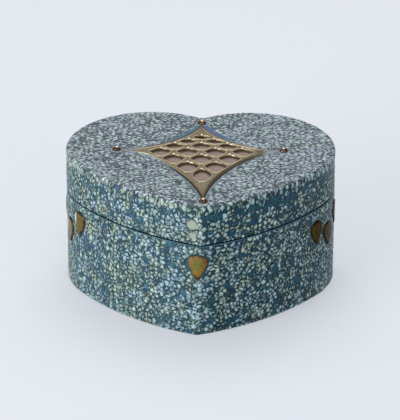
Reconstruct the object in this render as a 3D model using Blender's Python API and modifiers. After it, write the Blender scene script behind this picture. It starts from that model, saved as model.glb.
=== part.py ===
"""Ceramic heart box: a hollow heart-shaped body with a lift-off lid.

The lid carries a pierced brass lattice in a sunk window, pinned at its four points by domed studs.
Drop-shaped lustre petals are fixed on the body's wall, one over the front edge and three on each side.
The origin is on the underside, under the middle of the box. The heart's point faces -Y.
"""

import math

import bmesh
import bpy
from mathutils import Matrix, Vector

MM = 0.001

# The heart's plan
WIDTH = 160.0 * MM
DEPTH = 133.4 * MM
LOBE_RADIUS = 50.6 * MM
SIDE_RADIUS = 148.5 * MM  # the long, nearly straight flank between a lobe and the point
POINT_RADIUS = 2.6 * MM
NOTCH_RADIUS = 4.0 * MM
INNER_POINT_RADIUS = 2.0 * MM

# The box is built by hand: its front point runs to the right as it rises
POINT_AT_FOOT = -0.4 * MM
POINT_SLOPE = 0.042  # how far it runs to the right for each length of height
LEAN_START = 10.0 * MM  # behind this nothing leans

# Heights
HEIGHT = 83.6 * MM
SEAM = 57.9 * MM  # the body's rim
GAP = 0.3 * MM  # between pieces that touch
LID_BOTTOM = SEAM + GAP

# Thicknesses and edges
WALL = 5.5 * MM
FLOOR = 6.5 * MM
LID_TOP = 7.0 * MM
TOP_ROUND = 2.0 * MM
EDGE_ROUND = 0.8 * MM
SEAM_ROUND = 0.4 * MM
CAVITY_ROUND = 2.5 * MM

# The lid's locating flange, which drops inside the body
FLANGE_CLEARANCE = 0.8 * MM
FLANGE_THICKNESS = 3.0 * MM
FLANGE_DROP = 4.5 * MM
FLANGE_RISE = 7.0 * MM

# The window in the lid: a stretched astroid whose four cusps end at the studs
WINDOW_CROSS = 10.0 * MM  # how far behind the middle its two axes cross
WINDOW_LEFT = 50.2 * MM  # from the middle to its left-hand cusp
WINDOW_RIGHT = 48.6 * MM
WINDOW_BACK = 38.6 * MM
WINDOW_FRONT = 70.3 * MM
WINDOW_LEAN = 3.2 * MM  # the hand-cut window runs this far to the right by its front cusp
CUSP_HALF_WIDTH = 0.5 * MM
LATTICE_SUNK = 0.5 * MM
LATTICE_THICKNESS = 1.3 * MM
WINDOW_FLOOR = 2.6 * MM  # below the lid's top
POINTS_PER_SIDE = 14

# The lattice's cells: a diamond grid, four cells on a side
GRID_CELLS = 4
GRID_HALF_WIDTH = 33.0 * MM
GRID_CROSS = 9.3 * MM
GRID_BACK = 35.0 * MM
GRID_FRONT = -37.0 * MM
GRID_PINCH = 0.07  # how much the two rear sides are drawn in at their middles
BAR_WIDTH = 2.0 * MM
CELL_CORNER = 2.0 * MM
CORNER_STEPS = 3
BAR_ROUND = 0.25 * MM

# The studs
STUD_RADIUS = 2.4 * MM
STUD_HEIGHT = 2.5 * MM
STUD_SET = 0.8 * MM  # how deep it is set in the lid
STUD_SIDES = 16

# The petals: each one's distance along the wall from the front point, its height, and its lean
PETAL_WIDTH = 11.0 * MM
PETAL_LENGTH = 15.2 * MM
PETAL_RISE = 4.6 * MM  # from its widest place up to its top
PETAL_KNEE = 0.0 * MM  # above its middle, where its flanks draw in
PETAL_FULLNESS = 2.1  # 2 gives it a round head, and more gives it squarer shoulders
PETAL_TIP_RADIUS = 1.4 * MM
PETAL_PROUD = 0.8 * MM
PETAL_REACH = 6.0 * MM
PETAL_EDGE = 0.3 * MM
PETALS = {
    "petal_front": (-1.8 * MM, 44.0 * MM, 0),
    "petal_right_fore": (87.5 * MM, 42.4 * MM, 5),
    "petal_right_low": (101.0 * MM, 36.6 * MM, 8),
    "petal_right_aft": (116.5 * MM, 44.0 * MM, 0),
    "petal_left_fore": (-90.8 * MM, 44.9 * MM, -3),
    "petal_left_low": (-104.3 * MM, 36.0 * MM, 0),
    "petal_left_aft": (-124.0 * MM, 43.0 * MM, 0),
}

# How finely curves are cut
LOBE_STEPS = 26
SIDE_STEPS = 7
SMALL_ARC_STEPS = 4
PETAL_STEPS = 10
PETAL_FLANK_STEPS = 3

SHARP_ANGLE = math.radians(35)
BEVEL_ANGLE = math.radians(60)
FLAT_ANGLE = math.radians(0.1)
TOUCHING = 0.01 * MM  # closer than this, two points are one
OVERSHOOT = 2.0 * MM  # how far a cutter runs past the face it opens


def clear_scene():
    for old in list(bpy.data.objects):
        bpy.data.objects.remove(old, do_unlink=True)


def new_collection(name):
    collection = bpy.data.collections.new(name)
    bpy.context.scene.collection.children.link(collection)
    return collection


def new_material(name, colour, roughness, metallic):
    material = bpy.data.materials.new(name)
    material.use_nodes = True
    shader = material.node_tree.nodes["Principled BSDF"]
    shader.inputs["Base Color"].default_value = (*colour, 1.0)
    shader.inputs["Roughness"].default_value = roughness
    shader.inputs["Metallic"].default_value = metallic
    return material


# ---------------------------------------------------------------- the heart's outline


def lobe_centre():
    return Vector((WIDTH / 2 - LOBE_RADIUS, DEPTH / 2 - LOBE_RADIUS))


def side_centre():
    """The centre of the right flank's arc, which touches the lobe's circle and the point's from outside."""
    lobe = lobe_centre()
    point = Vector((0.0, POINT_RADIUS - DEPTH / 2))
    to_lobe = SIDE_RADIUS - LOBE_RADIUS
    to_point = SIDE_RADIUS - POINT_RADIUS
    between = lobe - point
    along = (to_point**2 - to_lobe**2 + between.length_squared) / (2 * between.length)
    across = math.sqrt(to_point**2 - along**2)
    forward = between.normalized()
    return point + forward * along + Vector((-forward.y, forward.x)) * across


def angle_of(vector):
    return math.atan2(vector.y, vector.x)


def lean_of(y, z):
    """How far to the right the hand-built box stands from an even one."""
    share = (LEAN_START - y) / (LEAN_START + DEPTH / 2)
    return (POINT_AT_FOOT + POINT_SLOPE * z) * max(share, 0.0) ** 1.5


def right_arcs(inset):
    """The outline's right half at an inset, from point to notch: (centre, radius, start, end, steps)."""
    lobe = lobe_centre()
    side = side_centre()
    point_radius = max(POINT_RADIUS - inset, INNER_POINT_RADIUS)
    reach = SIDE_RADIUS - inset - point_radius
    point = Vector((0.0, side.y - math.sqrt(reach**2 - side.x**2)))
    notch = Vector((0.0, lobe.y + math.sqrt((LOBE_RADIUS + NOTCH_RADIUS) ** 2 - lobe.x**2)))
    point_end = angle_of(point - side)
    side_end = angle_of(lobe - side)
    lobe_end = angle_of(notch - lobe)
    return [
        (point, point_radius, -math.pi / 2, point_end, SMALL_ARC_STEPS),
        (side, SIDE_RADIUS - inset, point_end, side_end, SIDE_STEPS),
        (lobe, LOBE_RADIUS - inset, side_end, lobe_end, LOBE_STEPS),
        (notch, NOTCH_RADIUS + inset, lobe_end - math.pi, -math.pi / 2, SMALL_ARC_STEPS),
    ]


def arc_points(centre, radius, start, end, steps):
    """The points of an arc after its first, which the arc before it already has."""
    angles = [start + (end - start) * step / steps for step in range(1, steps + 1)]
    return [centre + radius * Vector((math.cos(a), math.sin(a))) for a in angles]


def heart(inset):
    """The closed outline, anticlockwise from above, starting at the front point."""
    arcs = right_arcs(inset)
    point, point_radius = arcs[0][:2]
    right = [point - Vector((0.0, point_radius))]
    for arc in arcs:
        right += arc_points(*arc)
    left = [Vector((-p.x, p.y)) for p in reversed(right[1:-1])]
    return right + left


def on_wall(distance):
    """The wall's point and outward direction at a distance from the front point; left is negative."""
    side = 1 if distance >= 0 else -1
    rest = abs(distance)
    for centre, radius, start, end, _ in right_arcs(0.0):
        length = radius * abs(end - start)
        if rest <= length:
            break
        rest -= length
    angle = start + (end - start) * rest / length
    outward = Vector((math.cos(angle), math.sin(angle)))
    place = centre + radius * outward
    return Vector((side * place.x, place.y, 0.0)), Vector((side * outward.x, outward.y, 0.0))


# ---------------------------------------------------------------- solids and their edges


def prism(name, outlines, bottom, top, collection, edge=0.0, leans=False):
    """A flat outline, with any holes, as a mesh solid from bottom to top. It may lean as the box does."""
    curve = bpy.data.curves.new(name, "CURVE")
    curve.dimensions = "2D"
    curve.fill_mode = "BOTH"
    curve.extrude = (top - bottom) / 2 - edge
    curve.bevel_depth = edge
    curve.bevel_resolution = 0
    curve.offset = -edge
    for outline in outlines:
        spline = curve.splines.new("POLY")
        spline.points.add(len(outline) - 1)
        for spot, place in zip(spline.points, outline):
            spot.co = (place.x, place.y, 0.0, 1.0)
        spline.use_cyclic_u = True
    flat = bpy.data.objects.new(name + "_outline", curve)
    flat.location.z = (bottom + top) / 2
    collection.objects.link(flat)
    bpy.context.view_layer.update()
    evaluated = flat.evaluated_get(bpy.context.evaluated_depsgraph_get())
    mesh = bpy.data.meshes.new_from_object(evaluated)
    mesh.name = name
    solid = bpy.data.objects.new(name, mesh)
    solid.matrix_world = flat.matrix_world.copy()
    collection.objects.link(solid)
    bpy.data.objects.remove(flat, do_unlink=True)

    shape = bmesh.new()
    shape.from_mesh(mesh)
    bmesh.ops.remove_doubles(shape, verts=shape.verts, dist=TOUCHING)
    if len(outlines) == 1:
        bmesh.ops.dissolve_limit(shape, angle_limit=FLAT_ANGLE, verts=shape.verts, edges=shape.edges)
    bmesh.ops.recalc_face_normals(shape, faces=shape.faces)
    if leans:
        for vertex in shape.verts:
            vertex.co.x += lean_of(vertex.co.y, vertex.co.z + (bottom + top) / 2)
    shape.to_mesh(mesh)
    shape.free()
    return solid


def round_edges(solid, top=0.0, bottom=0.0, segments=3):
    """Rounds the edges around a prism's two ends, each with its own radius."""
    widest = max(top, bottom)
    mesh = solid.data
    middle = sum(v.co.z for v in mesh.vertices) / len(mesh.vertices)
    weights = mesh.attributes.new("bevel_weight_edge", "FLOAT", "EDGE")
    for edge in mesh.edges:
        first, second = (mesh.vertices[i].co for i in edge.vertices)
        if abs(first.z - second.z) < TOUCHING:
            radius = top if first.z > middle else bottom
            weights.data[edge.index].value = radius / widest
    bevel = solid.modifiers.new("Rounded ends", "BEVEL")
    bevel.limit_method = "WEIGHT"
    bevel.width = widest
    bevel.segments = segments


def combine(solid, other, operation):
    boolean = solid.modifiers.new(f"{operation.title()} {other.name}", "BOOLEAN")
    boolean.operation = operation
    boolean.object = other


def hide(guide):
    guide.hide_render = True
    guide.display_type = "WIRE"


def finish(solid, material):
    solid.data.materials.clear()
    solid.data.materials.append(material)
    solid.data.shade_smooth()
    solid.data.set_sharp_from_angle(angle=SHARP_ANGLE)


# ---------------------------------------------------------------- the body and the lid


def make_body(parts, cutters, glaze):
    body = prism("box_body", [heart(0.0)], 0.0, SEAM, parts, leans=True)
    round_edges(body, top=SEAM_ROUND, bottom=EDGE_ROUND, segments=2)
    cavity = prism("body_cavity", [heart(WALL)], FLOOR, SEAM + OVERSHOOT, cutters, leans=True)
    round_edges(cavity, bottom=CAVITY_ROUND, segments=2)
    combine(body, cavity, "DIFFERENCE")
    hide(cavity)
    finish(body, glaze)


def make_lid(parts, cutters, glaze):
    lid = prism("lid", [heart(0.0)], LID_BOTTOM, HEIGHT, parts, leans=True)
    round_edges(lid, top=TOP_ROUND, bottom=SEAM_ROUND, segments=3)

    flange_outside = WALL + FLANGE_CLEARANCE
    flange_inside = flange_outside + FLANGE_THICKNESS
    flange_bottom = SEAM - FLANGE_DROP
    flange_plan = [heart(flange_outside)]
    flange = prism("lid_flange", flange_plan, flange_bottom, LID_BOTTOM + OVERSHOOT, cutters, leans=True)
    round_edges(flange, bottom=EDGE_ROUND, segments=2)
    throat_top = LID_BOTTOM + FLANGE_RISE
    throat_plan = [heart(flange_inside)]
    throat_bottom = flange_bottom - OVERSHOOT
    throat = prism("lid_throat", throat_plan, throat_bottom, throat_top + GAP, cutters, leans=True)
    hollow = prism("lid_hollow", [heart(WALL)], throat_top, HEIGHT - LID_TOP, cutters, leans=True)
    combine(lid, flange, "UNION")
    combine(lid, throat, "DIFFERENCE")
    combine(lid, hollow, "DIFFERENCE")

    rebate_depth = LATTICE_SUNK + LATTICE_THICKNESS + GAP
    rebate = prism("window_rebate", [window(GAP)], HEIGHT - rebate_depth, HEIGHT + OVERSHOOT, cutters)
    floor_top = HEIGHT - rebate_depth + GAP
    floor = prism("window_floor", [grid_outline()], HEIGHT - WINDOW_FLOOR, floor_top, cutters)
    combine(lid, rebate, "DIFFERENCE")
    combine(lid, floor, "DIFFERENCE")
    for name, place in stud_places().items():
        socket = turned_pin(f"socket_{name}", STUD_RADIUS + GAP, STUD_SET + GAP + OVERSHOOT, cutters)
        socket.location = (place.x, place.y, HEIGHT - STUD_SET - GAP)
        combine(lid, socket, "DIFFERENCE")
        hide(socket)
    for cutter in (flange, throat, hollow, rebate, floor):
        hide(cutter)
    finish(lid, glaze)


# ---------------------------------------------------------------- the window's lattice


def window(grow):
    """The window's outline: four concave sides, stretched more to the front, with narrow blunt cusps."""
    outline = []
    reaches = [(1, WINDOW_BACK), (-1, WINDOW_BACK), (-1, WINDOW_FRONT), (1, WINDOW_FRONT)]
    for quarter, (side, reach) in enumerate(reaches):
        rear = 1 if quarter < 2 else -1
        wide = WINDOW_RIGHT if side > 0 else WINDOW_LEFT
        stop = STUD_RADIUS + GAP - grow
        first = math.acos((1 - stop / wide) ** (1 / 3))
        last = math.asin((1 - stop / reach) ** (1 / 3))
        steps = range(POINTS_PER_SIDE)
        angles = [first + (last - first) * step / (POINTS_PER_SIDE - 1) for step in steps]
        points = []
        for angle in angles:
            place = Vector((wide * math.cos(angle) ** 3, reach * math.sin(angle) ** 3))
            outward = Vector((reach * math.sin(angle), wide * math.cos(angle))).normalized()
            place = place + grow * outward
            least = CUSP_HALF_WIDTH + grow
            place = Vector((side * max(place.x, least), WINDOW_CROSS + rear * max(place.y, least)))
            points.append(leaning(place))
        outline += points if quarter in (0, 2) else list(reversed(points))
    return outline


def leaning(place):
    """Moves a place of the symmetric window to where the leaning one has it."""
    share = (WINDOW_CROSS + WINDOW_BACK - place.y) / (WINDOW_BACK + WINDOW_FRONT)
    return Vector((place.x + WINDOW_LEAN * max(share, 0.0) ** 1.5, place.y))


def on_grid(across, back):
    """A place on the lattice from its diamond coordinates, -1 to 1. Cells lengthen to the front."""
    mean_reach = (GRID_BACK - GRID_FRONT) / 2
    stretch = (GRID_BACK + GRID_FRONT) / 2 - GRID_CROSS
    pinch = 1 - GRID_PINCH * 4 * abs(across) * max(back, 0.0)
    from_cross = pinch * Vector((GRID_HALF_WIDTH * across, mean_reach * back + stretch * back**2))
    return leaning(Vector((0.0, GRID_CROSS)) + from_cross)


def grid_outline():
    corners = [(1, 0), (0, 1), (-1, 0), (0, -1)]
    outline = []
    for (x0, y0), (x1, y1) in zip(corners, corners[1:] + corners[:1]):
        for step in range(GRID_CELLS):
            share = step / GRID_CELLS
            outline.append(on_grid(x0 + (x1 - x0) * share, y0 + (y1 - y0) * share))
    return outline


def rounded_cell(corners, inset, radius):
    """A four-sided cell drawn in by an inset, with its corners rounded."""
    count = len(corners)
    sides = [(corners[(i + 1) % count] - corners[i]).normalized() for i in range(count)]
    outline = []
    for i, corner in enumerate(corners):
        before, after = sides[i - 1], sides[i]
        half_turn = before.angle_signed(after) / -2
        inward = Vector((-before.y - after.y, before.x + after.x)).normalized()
        centre = corner + inward * (inset + radius) / math.cos(half_turn)
        start = angle_of(Vector((before.y, -before.x)))
        for step in range(CORNER_STEPS + 1):
            angle = start + 2 * half_turn * step / CORNER_STEPS
            outline.append(centre + radius * Vector((math.cos(angle), math.sin(angle))))
    return outline


def lattice_holes():
    holes = []
    step = 1 / GRID_CELLS
    for row in range(GRID_CELLS):
        for column in range(GRID_CELLS):
            across = (column - row) * step
            back = 1 - (row + column + 1) * step
            corners = [on_grid(across + step, back), on_grid(across, back + step)]
            corners += [on_grid(across - step, back), on_grid(across, back - step)]
            holes.append(rounded_cell(corners, BAR_WIDTH / 2, CELL_CORNER))
    return holes


def make_lattice(parts, brass):
    top = HEIGHT - LATTICE_SUNK
    outlines = [window(0.0)] + lattice_holes()
    lattice = prism("lattice_grille", outlines, top - LATTICE_THICKNESS, top, parts, edge=BAR_ROUND)
    finish(lattice, brass)


# ---------------------------------------------------------------- studs and petals


def stud_places():
    places = {
        "front": Vector((0.0, WINDOW_CROSS - WINDOW_FRONT)),
        "back": Vector((0.0, WINDOW_CROSS + WINDOW_BACK)),
        "left": Vector((-WINDOW_LEFT, WINDOW_CROSS)),
        "right": Vector((WINDOW_RIGHT, WINDOW_CROSS)),
    }
    return {name: leaning(place) for name, place in places.items()}


def turned_pin(name, radius, length, collection):
    """A short cylinder standing on its own origin."""
    shape = bmesh.new()
    bmesh.ops.create_cone(
        shape, cap_ends=True, segments=STUD_SIDES, radius1=radius, radius2=radius, depth=length,
        matrix=Matrix.Translation((0.0, 0.0, length / 2)),
    )
    mesh = bpy.data.meshes.new(name)
    shape.to_mesh(mesh)
    shape.free()
    pin = bpy.data.objects.new(name, mesh)
    collection.objects.link(pin)
    return pin


def make_studs(parts, copper):
    """Each stud is a low dome on a short shank, turned from a profile."""
    for name, place in stud_places().items():
        shape = bmesh.new()
        bmesh.ops.create_uvsphere(shape, u_segments=STUD_SIDES, v_segments=10, radius=STUD_RADIUS)
        below = [v for v in shape.verts if v.co.z < -TOUCHING]
        for vertex in shape.verts:
            if vertex.co.z > 0:
                vertex.co.z *= STUD_HEIGHT / STUD_RADIUS
        bmesh.ops.delete(shape, geom=below, context="VERTS")
        rim = [edge for edge in shape.edges if edge.is_boundary]
        shank = bmesh.ops.extrude_edge_only(shape, edges=rim)["geom"]
        for vertex in (item for item in shank if isinstance(item, bmesh.types.BMVert)):
            vertex.co.z = -STUD_SET
        bmesh.ops.holes_fill(shape, edges=[edge for edge in shape.edges if edge.is_boundary])
        bmesh.ops.recalc_face_normals(shape, faces=shape.faces)
        mesh = bpy.data.meshes.new(f"stud_{name}")
        shape.to_mesh(mesh)
        shape.free()
        stud = bpy.data.objects.new(f"stud_{name}", mesh)
        stud.location = (place.x, place.y, HEIGHT)
        parts.objects.link(stud)
        finish(stud, copper)


def petal_outline():
    """A shield: a broad head with rounded shoulders over flanks that draw in to a small round tip."""
    half = PETAL_WIDTH / 2
    widest = PETAL_LENGTH / 2 - PETAL_RISE
    power = 2 / PETAL_FULLNESS
    outline = []
    for step in range(PETAL_STEPS + 1):
        angle = math.pi * step / PETAL_STEPS
        across = math.copysign(abs(math.cos(angle)) ** power, math.cos(angle))
        outline.append(Vector((half * across, widest + PETAL_RISE * abs(math.sin(angle)) ** power)))
    tip = Vector((0.0, PETAL_TIP_RADIUS - PETAL_LENGTH / 2))
    knee = Vector((-half, PETAL_KNEE))
    reach = (tip - knee).length
    slant = math.atan2(half, knee.y - tip.y) - math.asin(PETAL_TIP_RADIUS / reach)
    left = math.pi + slant
    foot = tip + PETAL_TIP_RADIUS * Vector((math.cos(left), math.sin(left)))
    flank = []
    for step in range(1, PETAL_FLANK_STEPS + 1):
        share = step / PETAL_FLANK_STEPS
        upper = outline[PETAL_STEPS].lerp(knee, share)
        flank.append(upper.lerp(knee.lerp(foot, share), share))
    outline += flank
    outline += arc_points(tip, PETAL_TIP_RADIUS, left, math.tau - slant, SMALL_ARC_STEPS)
    outline += [Vector((-point.x, point.y)) for point in reversed(flank[:-1])]
    return outline


def make_petals(parts, cutters, lustre):
    """Each petal is a drop cut from a thin skin that follows the body's wall."""
    lowest = min(height for _, height, _ in PETALS.values()) - PETAL_LENGTH
    skin = prism("petal_skin", [heart(-PETAL_PROUD), heart(-GAP)], lowest, SEAM, cutters, leans=True)
    hide(skin)
    for name, (distance, height, lean) in PETALS.items():
        place, outward = on_wall(distance)
        place.x += lean_of(place.y, height)
        upward = Vector((0.0, 0.0, 1.0))
        along = upward.cross(outward)
        petal = prism(name, [petal_outline()], -PETAL_REACH, 2 * PETAL_PROUD, parts)
        turn = Matrix((along, upward, outward)).transposed().to_4x4()
        tilt = Matrix.Rotation(math.radians(lean), 4, "Z")
        petal.matrix_world = Matrix.Translation(place + upward * height) @ turn @ tilt
        combine(petal, skin, "INTERSECT")
        bevel = petal.modifiers.new("Soft edge", "BEVEL")
        bevel.limit_method = "ANGLE"
        bevel.angle_limit = BEVEL_ANGLE
        bevel.width = PETAL_EDGE
        bevel.segments = 1
        finish(petal, lustre)


def make_box():
    clear_scene()
    parts = new_collection("ceramic_heart_box")
    cutters = new_collection("cutters")
    glaze = new_material("Crawled blue and celadon glaze", (0.16, 0.27, 0.29), 0.3, 0.0)
    brass = new_material("Gilt cast brass", (0.30, 0.25, 0.12), 0.35, 1.0)
    copper = new_material("Bronzed copper", (0.25, 0.13, 0.07), 0.3, 1.0)
    lustre = new_material("Olive gold lustre", (0.25, 0.21, 0.08), 0.3, 1.0)
    make_body(parts, cutters, glaze)
    make_lid(parts, cutters, glaze)
    make_lattice(parts, brass)
    make_studs(parts, copper)
    make_petals(parts, cutters, lustre)


make_box()
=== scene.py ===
# %% [markdown]
# # A ceramic heart box
# This lesson dresses a finished CAD model of a lidded stoneware box as the real thing.
# The packed model is loaded first and never changed. Everything made here is measured from it.
# Each step says what the real piece is, how it could be made, and why this way was chosen.

import math

import bpy
import numpy as np
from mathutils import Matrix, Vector
from mathutils.geometry import delaunay_2d_cdt


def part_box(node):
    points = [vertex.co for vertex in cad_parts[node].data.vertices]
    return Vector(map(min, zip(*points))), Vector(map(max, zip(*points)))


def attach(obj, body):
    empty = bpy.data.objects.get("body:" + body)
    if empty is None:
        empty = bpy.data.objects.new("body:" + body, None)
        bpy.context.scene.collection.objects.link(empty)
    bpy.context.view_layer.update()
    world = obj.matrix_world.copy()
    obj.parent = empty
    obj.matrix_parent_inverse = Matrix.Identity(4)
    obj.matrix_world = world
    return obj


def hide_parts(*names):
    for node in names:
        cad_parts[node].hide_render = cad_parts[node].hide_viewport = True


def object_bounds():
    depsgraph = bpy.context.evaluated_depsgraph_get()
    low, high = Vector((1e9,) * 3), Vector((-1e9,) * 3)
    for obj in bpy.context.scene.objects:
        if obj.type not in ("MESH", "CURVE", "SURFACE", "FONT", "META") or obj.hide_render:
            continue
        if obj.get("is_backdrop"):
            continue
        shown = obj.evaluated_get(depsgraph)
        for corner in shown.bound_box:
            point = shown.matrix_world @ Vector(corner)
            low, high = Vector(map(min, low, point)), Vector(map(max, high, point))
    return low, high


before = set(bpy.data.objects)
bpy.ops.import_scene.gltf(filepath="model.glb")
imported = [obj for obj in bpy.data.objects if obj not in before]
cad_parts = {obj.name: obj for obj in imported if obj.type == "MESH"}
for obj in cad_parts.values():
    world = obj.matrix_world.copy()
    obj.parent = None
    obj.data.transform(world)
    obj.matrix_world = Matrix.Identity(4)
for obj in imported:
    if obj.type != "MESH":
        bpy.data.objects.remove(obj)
cad_low, cad_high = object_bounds()
MM = 0.001
print("nodes:", ", ".join(sorted(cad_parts)))
print("CAD box, mm:", [round(v / MM, 1) for v in cad_high - cad_low])

# %% [markdown]
# ## Measurements
# The heart's plan is made of arcs that touch, so the same few centres give its outline at any inset.
# The sizes below are the model's own, in mm. The heights are read from the model's nodes.

# %% Sizes of the box
WIDTH = 160.0
DEPTH = 133.4
LOBE_RADIUS = 50.6
SIDE_RADIUS = 148.5
POINT_RADIUS = 2.6
NOTCH_RADIUS = 4.0
INNER_POINT_RADIUS = 2.0
WALL = 5.5
FLOOR = 6.5
LID_TOP = 7.0
GAP = 0.3
rim_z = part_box("box_body")[1].z / MM
top_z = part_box("lid")[1].z / MM
flange_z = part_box("lid")[0].z / MM
lattice_top_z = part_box("lattice_grille")[1].z / MM
lattice_bottom_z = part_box("lattice_grille")[0].z / MM
lid_z = rim_z + GAP
print(f"rim {rim_z:.1f}, lid from {flange_z:.1f} to {top_z:.1f}, lattice top {lattice_top_z:.1f} mm")

# %% [markdown]
# ## One way to add a node
# Every material and every Geometry Nodes tree below is built in the script.
# One small function adds a node, sets its properties and fills its inputs.
# An input is given by its name or its number. It takes a plain value, another node's output,
# or a list of outputs where it can join several. A colour ramp also takes its stops, which are
# positions and hex colours. The function returns the node's first output, or the one that is asked for.

# %% Helpers for soft steps, nodes and colours
def fade(value, full, none):
    """1 at one value and past it, 0 at another and past it, and smooth between them."""
    share = np.clip((none - value) / (none - full), 0, 1)
    return share * share * (3 - 2 * share)


def add(tree, kind, inputs=None, stops=(), out=0, **settings):
    """Adds a node with its settings and links, and returns one of its outputs, or all for out=None."""
    node = tree.nodes.new(kind)
    for key, value in settings.items():
        setattr(node, key, value)
    for key, value in (inputs or {}).items():
        for source in value if isinstance(value, list) else [value]:
            if isinstance(source, bpy.types.NodeSocket):
                tree.links.new(source, node.inputs[key])
            else:
                node.inputs[key].default_value = source
    for index, (position, code) in enumerate(stops):
        elements = node.color_ramp.elements
        element = elements[index] if index < 2 else elements.new(position)
        element.position, element.color = position, paint(code)
    return node.outputs if out is None else node.outputs[out]


def paint(code):
    """An sRGB hex colour as the linear colour that a shader needs."""
    parts = [int(code[i : i + 2], 16) / 255 for i in (1, 3, 5)]
    linear = [p / 12.92 if p <= 0.04045 else ((p + 0.055) / 1.055) ** 2.4 for p in parts]
    return (*linear, 1.0)


print("celadon in linear light:", [round(c, 3) for c in paint("#b7c8bb")[:3]])

# %% [markdown]
# ## The heart's outline
# The outline could be traced by hand with a curve. The rule of arcs is better:
# rings at different insets then have matching points, so they join into walls and rounded edges.
# The box was built by hand from slabs, and its front edge leans a little to the right as it rises.

# %% The arcs of the outline
def around(angles):
    """Places on a circle of radius 1, one for each angle."""
    return np.column_stack([np.cos(angles), np.sin(angles)])


def heart_arcs(inset):
    """The right half as (centre, radius, first angle, last angle), from the front point to the notch."""
    lobe = np.array([WIDTH / 2 - LOBE_RADIUS, DEPTH / 2 - LOBE_RADIUS])
    start = np.array([0.0, POINT_RADIUS - DEPTH / 2])
    to_lobe = SIDE_RADIUS - LOBE_RADIUS
    to_point = SIDE_RADIUS - POINT_RADIUS
    between = np.linalg.norm(lobe - start)
    forward = (lobe - start) / between
    along = (to_point**2 - to_lobe**2 + between**2) / (2 * between)
    across = math.sqrt(to_point**2 - along**2)
    side = start + forward * along + np.array([-forward[1], forward[0]]) * across
    point_radius = max(POINT_RADIUS - inset, INNER_POINT_RADIUS)
    reach = SIDE_RADIUS - inset - point_radius
    point = np.array([0.0, side[1] - math.sqrt(reach**2 - side[0] ** 2)])
    notch = np.array([0.0, lobe[1] + math.sqrt((LOBE_RADIUS + NOTCH_RADIUS) ** 2 - lobe[0] ** 2)])
    point_end = math.atan2(*(point - side)[::-1])
    side_end = math.atan2(*(lobe - side)[::-1])
    lobe_end = math.atan2(*(notch - lobe)[::-1])
    return [
        (point, point_radius, -math.pi / 2, point_end),
        (side, SIDE_RADIUS - inset, point_end, side_end),
        (lobe, LOBE_RADIUS - inset, side_end, lobe_end),
        (notch, NOTCH_RADIUS + inset, lobe_end - math.pi, -math.pi / 2),
    ]


print("arcs of the right half, mm:", [round(float(radius), 1) for _, radius, _, _ in heart_arcs(0.0)])

# %% The outline as a ring of points
SPACING = 0.6  # mm between points, fine enough for the relief of the glaze
ARC_STEPS = [max(5, round(r * abs(b - a) / SPACING)) for _, r, a, b in heart_arcs(0.0)]
POINT_AT_FOOT = -0.4  # mm that the front point is moved at the foot
POINT_SLOPE = 0.042  # and for each mm above it
LEAN_START = 10.0  # mm in front of which the walls lean


def heart(inset, z):
    """The closed outline at a height, as rows of x, y in mm, anticlockwise from the front point."""
    arcs = heart_arcs(inset)
    right = [arcs[0][0] - [0.0, arcs[0][1]]]
    for (centre, radius, first, last), steps in zip(arcs, ARC_STEPS):
        right.extend(centre + radius * around(np.linspace(first, last, steps + 1)[1:]))
    right = np.array(right)
    left = right[-2:0:-1] * [-1.0, 1.0]
    return leant(np.vstack([right, left]), z)


def leant(points, z):
    """Moves places near the front point sideways, as the leaning front edge does."""
    points = np.array(points, float)
    share = np.clip((LEAN_START - points[:, 1]) / (LEAN_START + DEPTH / 2), 0, None)
    points[:, 0] += (POINT_AT_FOOT + POINT_SLOPE * z) * share**1.5
    return points


outline = heart(0.0, 0.0)
lengths = np.linalg.norm(np.roll(outline, -1, axis=0) - outline, axis=1)
print(f"outline: {len(outline)} points, {lengths.sum():.1f} mm round, {lengths.mean():.2f} mm apart")

# %% [markdown]
# ## Rings into skins
# A wall is a stack of rings. Each ring is an outline and a height, and each pair of rings is joined
# by four-sided faces. A flat region with holes, such as the lid's top, can't be made of rings.
# It is filled with evenly spaced points instead, and triangulated between its outlines.

# %% A form that gathers rings and flats
GLAZE, LINING, CLAY = 0, 1, 2  # the finish of a face


class Form:
    """Gathers the vertices and faces of one closed piece."""

    def __init__(self):
        self.places = []
        self.faces = []
        self.finishes = []
        self.count = 0

    def put(self, points, z):
        """Adds points at a height, and returns the number of the first."""
        first = self.count
        heights = np.broadcast_to(np.asarray(z, float), len(points))
        self.places.append(np.column_stack([points, heights]))
        self.count += len(points)
        return first

    def wall(self, rings, finish):
        """Joins rings of equal length, each one (points, height)."""
        firsts = [self.put(points, z) for points, z in rings]
        size = len(rings[0][0])
        i = np.arange(size)
        j = (i + 1) % size
        for low, high in zip(firsts, firsts[1:]):
            quads = np.column_stack([low + i, low + j, high + j, high + i])
            self.faces += quads.tolist()
            self.finishes += [finish] * size
        return firsts

    def cap(self, first, size, upward, finish):
        """Closes a ring with one flat face."""
        order = range(first, first + size)
        self.faces.append(list(order) if upward else list(reversed(order)))
        self.finishes.append(finish)

    def flat(self, outside, holes, z, spacing, finish, upward=True):
        """Fills a flat region, with points spaced evenly between its outlines."""
        loops = [outside] + holes
        points = list(loops)
        edges = []
        start = 0
        for loop in loops:
            size = len(loop)
            edges += [(start + k, start + (k + 1) % size) for k in range(size)]
            start += size
        if spacing:
            points.append(spread(loops, spacing))
        everything = np.vstack(points)
        corners = [Vector(p) for p in everything]
        places, _, triangles, *_ = delaunay_2d_cdt(corners, edges, [], 0, 1e-6)
        places = np.array([tuple(p) for p in places])
        triangles = np.array(triangles)
        middle = places[triangles].mean(axis=1)
        keep = inside(middle, outside)
        for hole in holes:
            keep &= ~inside(middle, hole)
        first = self.put(places, z)
        order = (0, 1, 2) if upward else (2, 1, 0)
        self.faces += (triangles[keep][:, order] + first).tolist()
        self.finishes += [finish] * int(keep.sum())


print("a form holds", ", ".join(name for name in vars(Form) if name[0] != "_"))


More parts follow.
